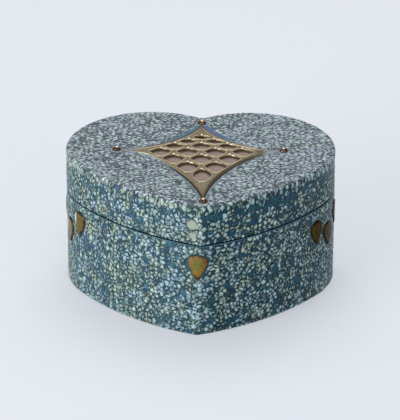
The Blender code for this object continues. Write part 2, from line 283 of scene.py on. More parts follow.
# %% Helpers for filling a flat region
def inside(points, loop):
    """Which points lie inside a closed outline."""
    result = np.zeros(len(points), bool)
    x, y = points[:, 0], points[:, 1]
    for (x0, y0), (x1, y1) in zip(loop, np.roll(loop, -1, axis=0)):
        if y0 != y1:
            crosses = (y0 > y) != (y1 > y)
            result ^= crosses & (x < x0 + (y - y0) * (x1 - x0) / (y1 - y0))
    return result


def distance_to(points, loop):
    """How far each point lies from the nearest stretch of an outline."""
    nearest = np.full(len(points), 1e9)
    for a, b in zip(loop, np.roll(loop, -1, axis=0)):
        along = b - a
        share = np.clip(((points - a) @ along) / max(along @ along, 1e-12), 0, 1)
        gap = np.linalg.norm(points - a - share[:, None] * along, axis=1)
        nearest = np.minimum(nearest, gap)
    return nearest


def spread(loops, spacing):
    """Points on a triangular grid, inside the first outline and clear of every outline."""
    low, high = loops[0].min(axis=0), loops[0].max(axis=0)
    rows = []
    for row, y in enumerate(np.arange(low[1], high[1], spacing * math.sqrt(3) / 2)):
        x = np.arange(low[0] + spacing / 2 * (row % 2), high[0], spacing)
        rows.append(np.column_stack([x, np.full(len(x), y)]))
    grid = np.vstack(rows)
    grid = grid[inside(grid, loops[0])]
    for loop in loops[1:]:
        grid = grid[~inside(grid, loop)]
    for loop in loops:
        grid = grid[distance_to(grid, loop) > spacing * 0.6]
    return grid


print("points 10 mm apart inside the heart:", len(spread([outline], 10.0)))


# %% A helper for rounded edges
def rounded(inset, z, radius, first, last, steps=4):
    """Insets and heights round a quarter turn about a centre, between two angles in degrees."""
    angles = np.radians(np.linspace(first, last, steps + 1))
    return [(inset - radius * math.cos(a), z + radius * math.sin(a)) for a in angles]


print("a rounded edge of 1 mm:", np.round(rounded(1.0, 0.0, 1.0, 0, 90, steps=2), 2).tolist())

# %% [markdown]
# ## The window's outline and its studs
# The window is a stretched astroid: four hollow sides that meet in cusps, each ending at a stud.
# It was cut by hand, so its front cusp runs a little to the right.

# %% The window
CROSS_Y = 10.0
WINDOW_LEFT = 50.2
WINDOW_RIGHT = 48.6
WINDOW_BACK = 38.6
WINDOW_FRONT = 70.3
LEAN = 3.2
CUSP = 0.5
STUD_RADIUS = 2.4
SIDE_POINTS = 96


def leaning(points):
    """Moves places of the even window to where the hand-cut one has them."""
    points = np.array(points, float)
    share = np.clip((CROSS_Y + WINDOW_BACK - points[..., 1]) / (WINDOW_BACK + WINDOW_FRONT), 0, None)
    points[..., 0] += LEAN * share**1.5
    return points


def window(grow, stop=3.4):
    """The window's outline, grown or, if grow is negative, drawn in; stop is how far short of a stud."""
    outline = []
    quarters = [(1, 1, WINDOW_BACK), (-1, 1, WINDOW_BACK), (-1, -1, WINDOW_FRONT), (1, -1, WINDOW_FRONT)]
    for quarter, (side, rear, reach) in enumerate(quarters):
        wide = WINDOW_RIGHT if side > 0 else WINDOW_LEFT
        first = math.acos((1 - stop / wide) ** (1 / 3))
        last = math.asin((1 - stop / reach) ** (1 / 3))
        angles = np.linspace(first, last, SIDE_POINTS)
        place = np.column_stack([wide * np.cos(angles) ** 3, reach * np.sin(angles) ** 3])
        place = np.maximum(place, CUSP)
        outward = np.column_stack([reach * np.sin(angles), wide * np.cos(angles)])
        outward /= np.linalg.norm(outward, axis=1)[:, None]
        if grow < 0:
            half_width = place.min(axis=1)
            place += outward * (grow / (1 - grow / half_width))[:, None]
        else:
            place += outward * grow
        points = place * [side, rear] + [0.0, CROSS_Y]
        outline.append(points if quarter in (0, 2) else points[::-1])
    return leaning(np.vstack(outline))


print("window, mm:", (window(0.0).max(axis=0) - window(0.0).min(axis=0)).round(1))

# %% The studs' places
STUDS = {
    "front": (0.0, CROSS_Y - WINDOW_FRONT),
    "back": (0.0, CROSS_Y + WINDOW_BACK),
    "left": (-WINDOW_LEFT, CROSS_Y),
    "right": (WINDOW_RIGHT, CROSS_Y),
}
STUDS = {name: leaning(place) for name, place in STUDS.items()}
for name, place in STUDS.items():
    low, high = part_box(f"stud_{name}")
    print(f"stud {name}: here {place.round(1)}, in the model {((low + high) / 2 / MM).xy[:]}")

# %% [markdown]
# ## The body
# A hollow stoneware body that stands flat on its foot, with a rim that the lid sits on.
# Its profile is a list of insets and heights: foot, outer wall, rim, inner wall, floor.
# The outer wall has a ring every 0.6 mm, because the glaze's relief has to be modelled on it.

# %% The body's form
SEAM_ROUND = 0.4  # mm, the small rounding on both sides of the seam
FOOT_ROUND = 0.8  # mm, where the outer wall meets the foot
FOOT_BAND = 3.0  # mm in from the wall, to a ring that keeps the foot's shading flat
RIM_ROUND = 0.6  # mm, the rim's inner edge
FLOOR_ROUND = 2.5  # mm, where the inner wall meets the floor
LAND = 2.0  # mm that the glaze reaches in over the rim, before the bare clay


def wall_heights(low, high):
    """Evenly spaced heights up a wall that has relief."""
    return np.linspace(low, high, round((high - low) / SPACING) + 1)


def rings(profile):
    """The heart's outline at each inset and height of a profile."""
    return [(heart(inset, z), z) for inset, z in profile]


body = Form()
size = len(outline)
outer = rounded(FOOT_ROUND, FOOT_ROUND, FOOT_ROUND, -90, 0)[:-1]
outer += [(0.0, z) for z in wall_heights(FOOT_ROUND, rim_z - SEAM_ROUND)]
outer += rounded(SEAM_ROUND, rim_z - SEAM_ROUND, SEAM_ROUND, 0, 90, steps=3)[1:] + [(LAND, rim_z)]
body.wall(rings(outer), GLAZE)
foot = body.wall(rings([(FOOT_BAND, 0.0), (FOOT_ROUND, 0.0)]), CLAY)[0]
rim = [(LAND, rim_z)] + rounded(WALL - RIM_ROUND, rim_z - RIM_ROUND, RIM_ROUND, 90, 180, steps=3)
body.wall(rings(rim), CLAY)
inner = [(WALL, rim_z - RIM_ROUND), (WALL, rim_z - 5.0), (WALL, FLOOR + FLOOR_ROUND)]
inner += [(WALL + FLOOR_ROUND * (1 - math.cos(a)), FLOOR + FLOOR_ROUND * (1 - math.sin(a)))
          for a in np.radians([22, 45, 68, 90])] + [(WALL + 4.5, FLOOR)]
floor_ring = body.wall(rings(inner), LINING)[-1]
body.cap(foot, size, False, CLAY)
body.cap(floor_ring, size, True, LINING)
print(f"body form: {body.count} points, {len(body.faces)} faces")

# %% [markdown]
# ## The lid
# The lid is hollow underneath, with a flange that drops inside the body's rim.
# On top it has the window's rebate, a pocket with a clay floor for the lattice to stand over,
# and four shallow sockets for the studs.

# %% The lattice's grid
# It is a diamond of four cells by four. Its corners lie on these places, in mm.
CELLS = 4
GRID_HALF_WIDTH = 33.0
GRID_CROSS = 9.3
GRID_BACK = 35.0
GRID_FRONT = -37.0
PINCH = 0.07  # how much its rear sides are drawn in


def on_grid(across, back):
    """A place on the lattice from its diamond coordinates, each from -1 to 1."""
    across, back = np.asarray(across, float), np.asarray(back, float)
    mean_reach = (GRID_BACK - GRID_FRONT) / 2
    stretch = (GRID_BACK + GRID_FRONT) / 2 - GRID_CROSS
    pinch = 1 - PINCH * 4 * abs(across) * np.maximum(back, 0.0)
    x = GRID_HALF_WIDTH * across * pinch
    y = GRID_CROSS + (mean_reach * back + stretch * back**2) * pinch
    return leaning(np.stack([x, y], axis=-1))


def pocket():
    """The outline of the pocket under the lattice."""
    shares = np.arange(CELLS) / CELLS
    corners = [(1, 0), (0, 1), (-1, 0), (0, -1), (1, 0)]
    sides = []
    for (x0, y0), (x1, y1) in zip(corners, corners[1:]):
        sides.append(on_grid(x0 + (x1 - x0) * shares, y0 + (y1 - y0) * shares))
    return np.vstack(sides)


print("pocket corners, mm:", pocket()[::CELLS].round(1).tolist())

# %% The lid's form
TOP_ROUND = 2.0  # mm, outside the lid's upper edge and inside it
LIP = 0.5  # mm, the rounding of the glaze along the window
SOCKET_GAP = 0.2  # mm round a stud
SOCKET_DEPTH = 1.1
BEVEL = 0.8  # mm, on both edges of the flange
ledge_z = lattice_bottom_z - GAP
pocket_z = top_z - 2.6
flange_outside = WALL + 0.8
flange_inside = flange_outside + 3.0
throat_z = lid_z + 7.0
ceiling_z = top_z - LID_TOP

lid = Form()
hollow = rounded(WALL + TOP_ROUND, ceiling_z - TOP_ROUND, TOP_ROUND, 90, 0, steps=3)
hollow += [(WALL, throat_z), (flange_inside, throat_z), (flange_inside, flange_z + BEVEL)]
ceiling = lid.wall(rings(hollow), LINING)[0]
lid.cap(ceiling, size, False, LINING)
flange = [(flange_inside, flange_z + BEVEL), (flange_inside - BEVEL, flange_z),
          (flange_outside + BEVEL, flange_z), (flange_outside, flange_z + BEVEL),
          (flange_outside, lid_z), (LAND, lid_z)]
lid.wall(rings(flange), CLAY)
shell = [(LAND, lid_z)] + rounded(SEAM_ROUND, lid_z + SEAM_ROUND, SEAM_ROUND, -90, 0, steps=3)[:-1]
shell += [(0.0, z) for z in wall_heights(lid_z + SEAM_ROUND, top_z - TOP_ROUND)]
shell += rounded(TOP_ROUND, top_z - TOP_ROUND, TOP_ROUND, 0, 90, steps=8)[1:]
lid.wall(rings(shell), GLAZE)

window_edge = window(GAP + LIP)
circle = around(np.linspace(0, math.tau, 28, endpoint=False))
sockets = [place + circle * (STUD_RADIUS + SOCKET_GAP) for place in STUDS.values()]
lid.flat(heart(TOP_ROUND, top_z), [window_edge] + sockets, top_z, SPACING, GLAZE)
lip = [(window(GAP + LIP * (1 - math.sin(a))), top_z - LIP * (1 - math.cos(a)))
       for a in np.radians([0, 30, 60, 90])]
lid.wall(lip, GLAZE)
lid.wall([lip[-1], (lip[-1][0], ledge_z)], CLAY)
pocket_edge = pocket()
lid.flat(lip[-1][0], [pocket_edge], ledge_z, None, CLAY)
pocket_ring = lid.wall([(pocket_edge, ledge_z), (pocket_edge, pocket_z)], CLAY)[-1]
lid.cap(pocket_ring, len(pocket_edge), True, CLAY)
for ring in sockets:
    bottom = lid.wall([(ring, top_z), (ring, top_z - SOCKET_DEPTH)], CLAY)[-1]
    lid.cap(bottom, len(ring), True, CLAY)
print(f"lid form: {lid.count} points, {len(lid.faces)} faces")

# %% [markdown]
# ## Running a Geometry Nodes tree
# A tree is given its sizes as named inputs. It runs once on an object, and its result is kept as a
# plain mesh, so that nothing is left live on the finished piece.

# %% A helper for trees
def new_tree(name, guides=(), **sizes):
    """An empty tree with a geometry input and output, and named inputs for guide objects and sizes."""
    tree = bpy.data.node_groups.new(name, "GeometryNodeTree")
    tree.interface.new_socket("Geometry", in_out="INPUT", socket_type="NodeSocketGeometry")
    tree.interface.new_socket("Geometry", in_out="OUTPUT", socket_type="NodeSocketGeometry")
    for label in guides:
        tree.interface.new_socket(label, in_out="INPUT", socket_type="NodeSocketObject")
    for label, value in sizes.items():
        socket = tree.interface.new_socket(label, in_out="INPUT", socket_type="NodeSocketFloat")
        socket.default_value = value
    return tree, tree.nodes.new("NodeGroupInput").outputs, tree.nodes.new("NodeGroupOutput")


print("made the helper new_tree")


# %% Helpers for pieces
def grow(piece, tree, **inputs):
    """Runs a tree on a piece and keeps the result as the piece's plain mesh."""
    modifier = piece.modifiers.new(tree.name, "NODES")
    modifier.node_group = tree
    for item in tree.interface.items_tree:
        if item.in_out == "INPUT" and item.name in inputs:
            modifier[item.identifier] = inputs[item.name]
    graph = bpy.context.evaluated_depsgraph_get()
    made = bpy.data.meshes.new_from_object(piece.evaluated_get(graph), depsgraph=graph)
    old = piece.data
    piece.modifiers.clear()
    piece.data = made
    bpy.data.meshes.remove(old)
    made.name = piece.name
    made.shade_smooth()
    made.set_sharp_from_angle(angle=math.radians(60))
    print(f"{piece.name}: {sum(len(p.vertices) - 2 for p in made.polygons)} triangles")
    return piece


def new_piece(name, data):
    """An object for a mesh, a light or a camera, in the scene."""
    piece = bpy.data.objects.new(name, data)
    bpy.context.scene.collection.objects.link(piece)
    return piece


def form_mesh(form, name, paths=()):
    """A form's rings and flats as one mesh in metres, with loose closed paths beside its faces."""
    edges = []
    for points, z in paths:
        first = form.put(points, z)
        edges += [(first + k, first + (k + 1) % len(points)) for k in range(len(points))]
    mesh = bpy.data.meshes.new(name)
    mesh.from_pydata((np.vstack(form.places) * MM).tolist(), edges, form.faces)
    finish = mesh.attributes.new("finish", "INT", "FACE")
    finish.data.foreach_set("value", np.array(form.finishes, np.int32))
    return mesh


print("made the helpers grow, new_piece and form_mesh")

# %% [markdown]
# ## The crawled glaze
# A thick pale glaze over a blue one shrinks as it dries, tears into small islands and melts in place.
# The islands fit each other like pieces of a broken plate, with the blue showing between them.
# A Voronoi pattern breaks a surface in the same way, once noise has bent its edges. The difference
# between the distances to its two nearest points rounds off the corners, as melting glaze does.
# The same pattern is needed twice, for the relief and for the colour, so one function adds it to a tree.

# %% The pattern of the islands
ISLAND = 2.75  # mm, the pattern's unit before it is squeezed; most islands come out 2 to 3 mm across
STRETCH = (0.88, 1.38, 1.06)  # how much finer the pattern is along each axis
SWIRL = 0.48  # bends in each mm, so one bend is about 2 mm long
DRIFT = 1.6  # mm that the noise bends the edges
CRACK = -0.02  # mm, half the width of a usual crack
SHORE = 0.28  # mm over which an island's edge rises from its crack
CREST = 0.95  # mm from its edge to where it is highest


def crawling(tree, place, flow):
    """Adds the islands: place is in metres, and flow goes from -1, thin glaze, to 1, thick glaze."""
    units = tuple(share / MM for share in STRETCH)
    mm = add(tree, "ShaderNodeVectorMath", {0: place, 1: units}, operation="MULTIPLY")
    curl = {"Vector": mm, "Scale": SWIRL, "Detail": 3.0, "Roughness": 0.57}
    swirl = add(tree, "ShaderNodeTexNoise", curl, out="Color")
    swirl = add(tree, "ShaderNodeVectorMath", {0: swirl, 1: (0.5, 0.5, 0.5)}, operation="SUBTRACT")
    bent = add(tree, "ShaderNodeVectorMath", {0: swirl, 1: (2 * DRIFT,) * 3, 2: mm}, operation="MULTIPLY_ADD")
    unit = {"Vector": bent, "Scale": 1 / ISLAND, "Randomness": 0.9}
    first = add(tree, "ShaderNodeTexVoronoi", unit, feature="F1", out=None)
    second = add(tree, "ShaderNodeTexVoronoi", unit, feature="F2", out=None)
    # how far in mm a place is from the line between two islands, and three random numbers for each island
    edge = add(tree, "ShaderNodeMath", {0: second["Distance"], 1: first["Distance"]}, operation="SUBTRACT")
    edge = add(tree, "ShaderNodeMath", {0: edge, 1: ISLAND / 2}, operation="MULTIPLY")
    luck = add(tree, "ShaderNodeSeparateXYZ", {0: first["Color"]}, out=None)
    # the cracks' width wanders every 2 mm, and the glaze is spare or thin in patches of 8 and 5 mm
    wander, spare, thin = (add(tree, "ShaderNodeTexNoise", {"Vector": mm, "Scale": scale, "Detail": detail})
                           for scale, detail in ((0.55, 2.0), (0.12, 2.0), (0.19, 3.0)))
    thin = add(tree, "ShaderNodeMath", {0: flow, 1: -0.12, 2: thin}, operation="MULTIPLY_ADD")
    thin = add(tree, "ShaderNodeMapRange", {0: thin, 1: 0.55, 2: 0.7})
    # the cracks are wider where the glaze is spare or thin, and some of its small islands are missing
    crack = add(tree, "ShaderNodeMath", {0: wander, 1: 0.9, 2: CRACK - 0.76}, operation="MULTIPLY_ADD")
    for value, weight in ((spare, 0.5), (luck[0], 0.2), (thin, 0.5), (flow, -0.12)):
        crack = add(tree, "ShaderNodeMath", {0: value, 1: weight, 2: crack}, operation="MULTIPLY_ADD")
    margin = add(tree, "ShaderNodeMath", {0: edge, 1: crack}, operation="SUBTRACT")
    bare = add(tree, "ShaderNodeMath", {0: thin, 1: 0.25, 2: 0.01}, operation="MULTIPLY_ADD")
    present = add(tree, "ShaderNodeMath", {0: luck[1], 1: bare}, operation="GREATER_THAN")
    # an island steps up at its shore, and then swells to its crest
    island, dome = (add(tree, "ShaderNodeMapRange", {0: margin, 2: reach}, interpolation_type="SMOOTHSTEP")
                    for reach in (SHORE, CREST))
    island = add(tree, "ShaderNodeMath", {0: island, 1: present}, operation="MULTIPLY")
    dome = add(tree, "ShaderNodeMath", {0: dome, 1: island}, operation="MULTIPLY")
    return {"mm": mm, "island": island, "dome": dome, "edge": edge, "crack": crack, "present": present,
            "tone": luck[2], "spare": spare}


print("the pattern's unit along x, y and z, mm:", [round(ISLAND / share, 1) for share in STRETCH])

# %% [markdown]
# ## Finishes
# The base glaze is a blue-green stoneware glaze, glossy from the kiln. The islands are an opaque
# celadon white, also glossy, with thin blue-green edges where they melt into the blue.

# %% A new material
def new_finish(name, **values):
    """A named material and its shader, with the values that are the same all over set on the shader."""
    material = bpy.data.materials.new(name)
    material.use_nodes = True
    shader = material.node_tree.nodes["Principled BSDF"]
    for label, value in values.items():
        shader.inputs[label.replace("_", " ")].default_value = value
    return material, material.node_tree, shader


RGBA = {"data_type": "RGBA", "out": 2}  # makes a Mix node mix colours; its inputs are then 0, 6 and 7
TIMES = {"blend_type": "MULTIPLY", **RGBA}  # makes it multiply them


def cover(material, shader, colour, height, strength, depth):
    """Gives a finish its colour, and a bump from a height, with its depth in mm."""
    tree = material.node_tree
    tree.links.new(colour, shader.inputs["Base Color"])
    bump = add(tree, "ShaderNodeBump", {"Strength": strength, "Distance": depth * MM, "Height": height})
    tree.links.new(bump, shader.inputs["Normal"])
    print("made", material.name, "with", len(tree.nodes), "nodes")


# %% The crawled stoneware glaze
GLASS = {"Roughness": 0.2, "IOR": 1.52}  # a glossy fired glaze
crawled, tree, shader = new_finish("crawled_stoneware_glaze", Specular_IOR_Level=0.14, **GLASS)
place = add(tree, "ShaderNodeAttribute", attribute_name="clay_place", out="Vector")
flow, level, calm = (add(tree, "ShaderNodeAttribute", attribute_name=name, out="Fac")
                     for name in ("flow", "level", "calm"))
wash = add(tree, "ShaderNodeAttribute", attribute_name="wash", out="Color")
parts = crawling(tree, place, flow)
wild = add(tree, "ShaderNodeMath", {0: 1.0, 1: calm}, operation="SUBTRACT")
island, dome = (add(tree, "ShaderNodeMath", {0: parts[name], 1: wild}, operation="MULTIPLY")
                for name in ("island", "dome"))
print("the pattern's parts:", ", ".join(parts))

# %% Its ground
# The blue is painted darkest at the foot of an island, a painted shade in the cracks, and clear blue where it
# lies open.
# On the right-hand side of the box the colours are painted darker and bluer as painted shade, and on the
# lid's top they are greyer and paler, partly a painted sheen.
TURN = 0.016  # m to either side of the middle, over which the left's colours turn into the right's
SIDES = (("#234049", "#05262c"), ("#ffffff", "#80b8be"), ("#ffffff", "#fcffff"))  # each at left and right
open_blue = add(tree, "ShaderNodeMath", {0: parts["crack"], 1: parts["edge"]}, operation="SUBTRACT")
open_blue = add(tree, "ShaderNodeMapRange", {0: open_blue, 1: 0.0, 2: 0.5})
gone = add(tree, "ShaderNodeMath", {0: 1.0, 1: parts["present"]}, operation="SUBTRACT")
open_blue = add(tree, "ShaderNodeMath", {0: open_blue, 1: gone}, operation="MAXIMUM")
sides = add(tree, "ShaderNodeSeparateXYZ", {0: place})
right = add(tree, "ShaderNodeMapRange", {0: sides, 1: -TURN, 2: TURN}, interpolation_type="SMOOTHSTEP")
hue = add(tree, "ShaderNodeValToRGB", {0: parts["spare"]},
          ((0.38, "#3f6d76"), (0.5, "#3d6a7d"), (0.62, "#3b6384")))
# the right-hand colour of each pair is a painted shade for the side away from the light
crack_shade, side_shade, shaded = (add(tree, "ShaderNodeMix", {0: right, 6: paint(pair[0]), 7: paint(pair[1])}, **RGBA)
                      for pair in SIDES)
grain = add(tree, "ShaderNodeTexNoise", {"Vector": parts["mm"], "Scale": 1.4, "Detail": 2.0})
speck = add(tree, "ShaderNodeMapRange", {0: grain, 1: 0.3, 2: 0.7, 3: 0.6, 4: 1.4})
for part in (side_shade, speck):
    hue = add(tree, "ShaderNodeMix", {0: 1.0, 6: hue, 7: part}, **TIMES)
ground = crack_shade
# on the lid's top the ground is mixed to a greyer colour, partly a painted sheen
for amount, over in ((open_blue, hue), (level, paint("#454f57")), (calm, wash)):
    ground = add(tree, "ShaderNodeMix", {0: amount, 6: ground, 7: over}, **RGBA)
print("ground:", len(tree.nodes), "nodes so far")

# %% Its islands
# Each island has its own tone. It is darker at its thin edge, partly thin glaze over the blue and partly
# painted shade, and painted palest at its crest as a painted highlight.
# Its hue drifts over 11 mm, specks of 0.7 mm break up the white, and here and there iron has burnt
# brown spots of a few millimetres through it.
drift = add(tree, "ShaderNodeTexNoise", {"Vector": parts["mm"], "Scale": 0.09, "Detail": 3.0})
tint = add(tree, "ShaderNodeValToRGB", {0: drift},
           ((0.34, "#93acb9"), (0.46, "#97afb3"), (0.54, "#9cb1ab"), (0.66, "#a3b1a1")))
tint = add(tree, "ShaderNodeMix", {0: 1.0, 6: tint, 7: shaded}, **TIMES)
# on the lid's top the islands are paler and greyer, partly a painted sheen
above = add(tree, "ShaderNodeValToRGB", {0: drift}, ((0.4, "#b3bcc7"), (0.6, "#b1c2c0")))
thick = add(tree, "ShaderNodeMapRange", {0: flow, 1: 0.4, 2: 0.75})
for amount, over in ((level, above), (thick, paint("#a6b4a8"))):
    tint = add(tree, "ShaderNodeMix", {0: amount, 6: tint, 7: over}, **RGBA)
tone = add(tree, "ShaderNodeMapRange", {0: parts["tone"], 3: 0.8, 4: 1.1})
# painted shade at an island's thin edge, mixed with the blue, and a painted highlight at its crest
faint = add(tree, "ShaderNodeMix", {0: level, 6: (0.39, 0.47, 0.49, 1.0), 7: (0.43, 0.46, 0.48, 1.0)}, **RGBA)
shade = add(tree, "ShaderNodeMix", {0: parts["dome"], 6: faint, 7: (1.3, 1.3, 1.3, 1.0)}, **RGBA)
for part in (tone, shade, speck):
    tint = add(tree, "ShaderNodeMix", {0: 1.0, 6: tint, 7: part}, **TIMES)
iron = add(tree, "ShaderNodeTexNoise", {"Vector": parts["mm"], "Scale": 0.2, "Detail": 1.0})
iron = add(tree, "ShaderNodeMath", {0: level, 1: -0.1, 2: iron}, operation="MULTIPLY_ADD")
iron = add(tree, "ShaderNodeMapRange", {0: iron, 1: 0.66, 2: 0.78, 4: 0.7})
tint = add(tree, "ShaderNodeMix", {0: iron, 6: tint, 7: paint("#8c6641")}, **RGBA)
colour = add(tree, "ShaderNodeMix", {0: island, 6: ground, 7: tint}, **RGBA)
swell = add(tree, "ShaderNodeMath", {0: dome, 1: 0.7, 2: island}, operation="MULTIPLY_ADD")
swell = add(tree, "ShaderNodeMath", {0: grain, 1: 0.5, 2: swell}, operation="MULTIPLY_ADD")
cover(crawled, shader, colour, swell, 1.0, 0.3)

# %% The lining glaze and the bare clay
# The lining is the blue glaze without the white: glossy, with soft clouds 17 mm across and ripples of
# 5 mm. The bare clay is mauve stoneware, fired dull and rough, with a grit of 1 mm.
lining, tree, shader = new_finish("blue_lining_glaze", **GLASS)
place = add(tree, "ShaderNodeTexCoord", out="Object")
cloud = add(tree, "ShaderNodeTexNoise", {"Vector": place, "Scale": 60.0, "Detail": 4.0})
colour = add(tree, "ShaderNodeValToRGB", {0: cloud}, ((0.3, "#2c5668"), (0.7, "#447789")))
wave = add(tree, "ShaderNodeTexNoise", {"Vector": place, "Scale": 220.0, "Detail": 2.0})
cover(lining, shader, colour, wave, 0.3, 0.1)

clay, tree, shader = new_finish("fired_mauve_stoneware", Roughness=0.75, IOR=1.5)
place = add(tree, "ShaderNodeTexCoord", out="Object")
grit = add(tree, "ShaderNodeTexNoise", {"Vector": place, "Scale": 900.0, "Detail": 4.0, "Roughness": 0.7})
colour = add(tree, "ShaderNodeValToRGB", {0: grit}, ((0.25, "#7a665c"), (0.5, "#968177"), (0.75, "#ab9990")))
cover(clay, shader, colour, grit, 0.7, 0.2)

# %% [markdown]
# ## Relief on the two big pieces
# Each island stands about 0.3 mm proud of the blue. The tree moves the points of the blue inwards,
# so the islands' tops stay on the CAD surface and the box keeps its size.
# It also writes each point's place before the move, so the colour lands exactly on the relief.

# %% The end of a tree
def finish_tree(tree, end, geometry, material, others=()):
    """Makes the instances real and sets the materials; the others are faces and their own material."""
    geometry = add(tree, "GeometryNodeRealizeInstances", {"Geometry": geometry})
    geometry = add(tree, "GeometryNodeSetMaterial", {"Geometry": geometry, "Material": material})
    for faces, other in others:
        chosen = {"Geometry": geometry, "Selection": faces, "Material": other}
        geometry = add(tree, "GeometryNodeSetMaterial", chosen)
    tree.links.new(geometry, end.inputs["Geometry"])
    print(tree.name, "tree:", len(tree.nodes), "nodes")


DOUBLES = 2e-6  # m within which points are merged

# %% The relief tree
STEP = 0.65  # of the relief's depth is the step at an island's edge, and the rest is its dome
relief, start, end = new_tree("Crawled relief", Depth=0.3 * MM)
geometry = start["Geometry"]
geometry = add(relief, "GeometryNodeMergeByDistance", {"Geometry": geometry, "Distance": DOUBLES})
pull = add(relief, "GeometryNodeInputNamedAttribute", {"Name": "pull"}, data_type="FLOAT_VECTOR")
position = add(relief, "GeometryNodeInputPosition")
position = add(relief, "ShaderNodeVectorMath", {0: position, 1: pull}, operation="ADD")
kept = {"Geometry": geometry, "Name": "clay_place", "Value": position}
geometry = add(relief, "GeometryNodeStoreNamedAttribute", kept, data_type="FLOAT_VECTOR", domain="POINT")
flow, calm, glazed = (add(relief, "GeometryNodeInputNamedAttribute", {"Name": name}, data_type="FLOAT")
                      for name in ("flow", "calm", "glazed"))
parts = crawling(relief, position, flow)
wild = add(relief, "ShaderNodeMath", {0: 1.0, 1: calm}, operation="SUBTRACT")
height = add(relief, "ShaderNodeMath", {0: parts["dome"], 1: 1 - STEP}, operation="MULTIPLY")
height = add(relief, "ShaderNodeMath", {0: parts["island"], 1: STEP, 2: height}, operation="MULTIPLY_ADD")
height = add(relief, "ShaderNodeMath", {0: height, 1: wild}, operation="MULTIPLY")
sunk = add(relief, "ShaderNodeMath", {0: height, 1: 1.0}, operation="SUBTRACT")
for amount in (glazed, start["Depth"]):
    sunk = add(relief, "ShaderNodeMath", {0: sunk, 1: amount}, operation="MULTIPLY")
normal = add(relief, "GeometryNodeInputNormal")
offset = add(relief, "ShaderNodeVectorMath", {0: normal, "Scale": sunk}, operation="SCALE")
geometry = add(relief, "GeometryNodeSetPosition", {"Geometry": geometry, "Offset": offset})
face = add(relief, "GeometryNodeInputNamedAttribute", {"Name": "finish"}, data_type="INT")
lined, bare = (add(relief, "FunctionNodeCompare", {2: face, 3: code}, data_type="INT", operation="EQUAL")
               for code in (LINING, CLAY))
finish_tree(relief, end, geometry, crawled, [(lined, lining), (bare, clay)])

# %% [markdown]
# ## Where the petals sit
# Seven petals lie on the wall: one on the front edge, and two groups of three at the sides.
# Each has a distance round the wall from the front point, a height and a lean.

# %% Sizes of the petals
PETALS = {
    "front": (-1.8, 44.0, 0.0),
    "right_fore": (87.5, 42.4, 5.0),
    "right_low": (101.0, 36.6, 8.0),
    "right_aft": (116.5, 44.0, 0.0),
    "left_fore": (-90.8, 44.9, -3.0),
    "left_low": (-104.3, 36.0, 0.0),
    "left_aft": (-124.0, 43.0, 0.0),
}
PETAL_WIDTH = 11.0
PETAL_LENGTH = 15.2
PETAL_RISE = 4.6  # from its widest place up to its top
PETAL_KNEE = 0.0  # above its middle, where its flanks draw in
PETAL_FULLNESS = 2.1  # 2 gives it a round head, and more gives it squarer shoulders
PETAL_TIP = 1.4
PETAL_HEART = np.array([0.0, 1.4])  # the place that its rings close in on


def petal(share, head=30, side=9):
    """A petal's outline at a share of its full size: a broad head over flanks that draw in to a small tip."""
    half = PETAL_WIDTH / 2
    widest = PETAL_LENGTH / 2 - PETAL_RISE
    power = 2 / PETAL_FULLNESS
    turn = np.linspace(0, math.pi, head + 1)
    across = np.sign(np.cos(turn)) * abs(np.cos(turn)) ** power
    over = np.column_stack([half * across, widest + PETAL_RISE * np.sin(turn).clip(0) ** power])
    tip = np.array([0.0, PETAL_TIP - PETAL_LENGTH / 2])
    knee = np.array([-half, PETAL_KNEE])
    slant = math.atan2(half, knee[1] - tip[1]) - math.asin(PETAL_TIP / np.linalg.norm(tip - knee))
    turn = np.linspace(math.pi + slant, math.tau - slant, 9)
    under = tip + PETAL_TIP * around(turn)
    t = np.linspace(0, 1, side + 1)[1:-1, None]
    flank = (1 - t) ** 2 * over[-1] + 2 * t * (1 - t) * knee + t**2 * under[0]
    ring = np.vstack([over, flank, under, flank[::-1] * [-1, 1]])
    return PETAL_HEART + (ring - PETAL_HEART) * share


print("a petal's outline:", len(petal(1.0)), "points")

# %% Places of the petals
places = {}
reached = np.concatenate([[0.0], np.cumsum(lengths)])
for name, (distance, height, lean) in PETALS.items():
    middle = heart(0.0, height)
    closed = np.vstack([middle, middle[:1]])
    along = distance % reached[-1]
    point, ahead, behind = (
        np.array([np.interp((along + further) % reached[-1], reached, closed[:, k]) for k in (0, 1)])
        for further in (0.0, 0.5, -0.5))
    course = (ahead - behind) / np.linalg.norm(ahead - behind)
    places[name] = (point, course, height, math.radians(lean))
    low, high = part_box(f"petal_{name}")
    print(f"petal {name}: here {point.round(1)}, in the model {(((low + high) / 2) / MM).xy[:]}")

# %% [markdown]
# ## Where the glaze runs calm
# Along the back of the window the pale glaze was wiped away and the blue runs smooth.
# A thin pale lip follows the front of the window, its paleness partly a painted highlight, and a pale pool
# lies round each stud.
# Round each petal the glaze is calm and painted dark as painted shade, and the seam has a painted shadow,
# broader on the right.
# Along the lid's upper edge the pale glaze gathered thick and creamy, mostly on the left, and
# further down it ran thin, mostly on the right. Two creamy runs came down beside the lid's front edge,
# with a brown spot on the upper one. Near the top the islands are pulled longer, because they ran.
# These are numbers on the points: the relief and the colour both read them.

# %% Numbers on the points
# glazed is 1 where the relief works, and level is 1 on the lid's top. flow is how thick the glaze ran,
# and pull moves the pattern. calm is 1 where there are no islands, and wash is the colour there.
TURN_WIDTH = 14.0  # mm to either side of the middle, where the flow turns from the left's to the right's
KINDS = {1: ("FLOAT", "value"), 3: ("FLOAT_VECTOR", "vector"), 4: ("FLOAT_COLOR", "color")}


def write(mesh, **named):
    """Puts a number, a place or a colour on each point, by how many columns the values have."""
    for name, values in named.items():
        kind, field = KINDS[values.shape[1] if values.ndim == 2 else 1]
        mesh.attributes.new(name, kind, "POINT").data.foreach_set(field, values.ravel().astype(np.float32))


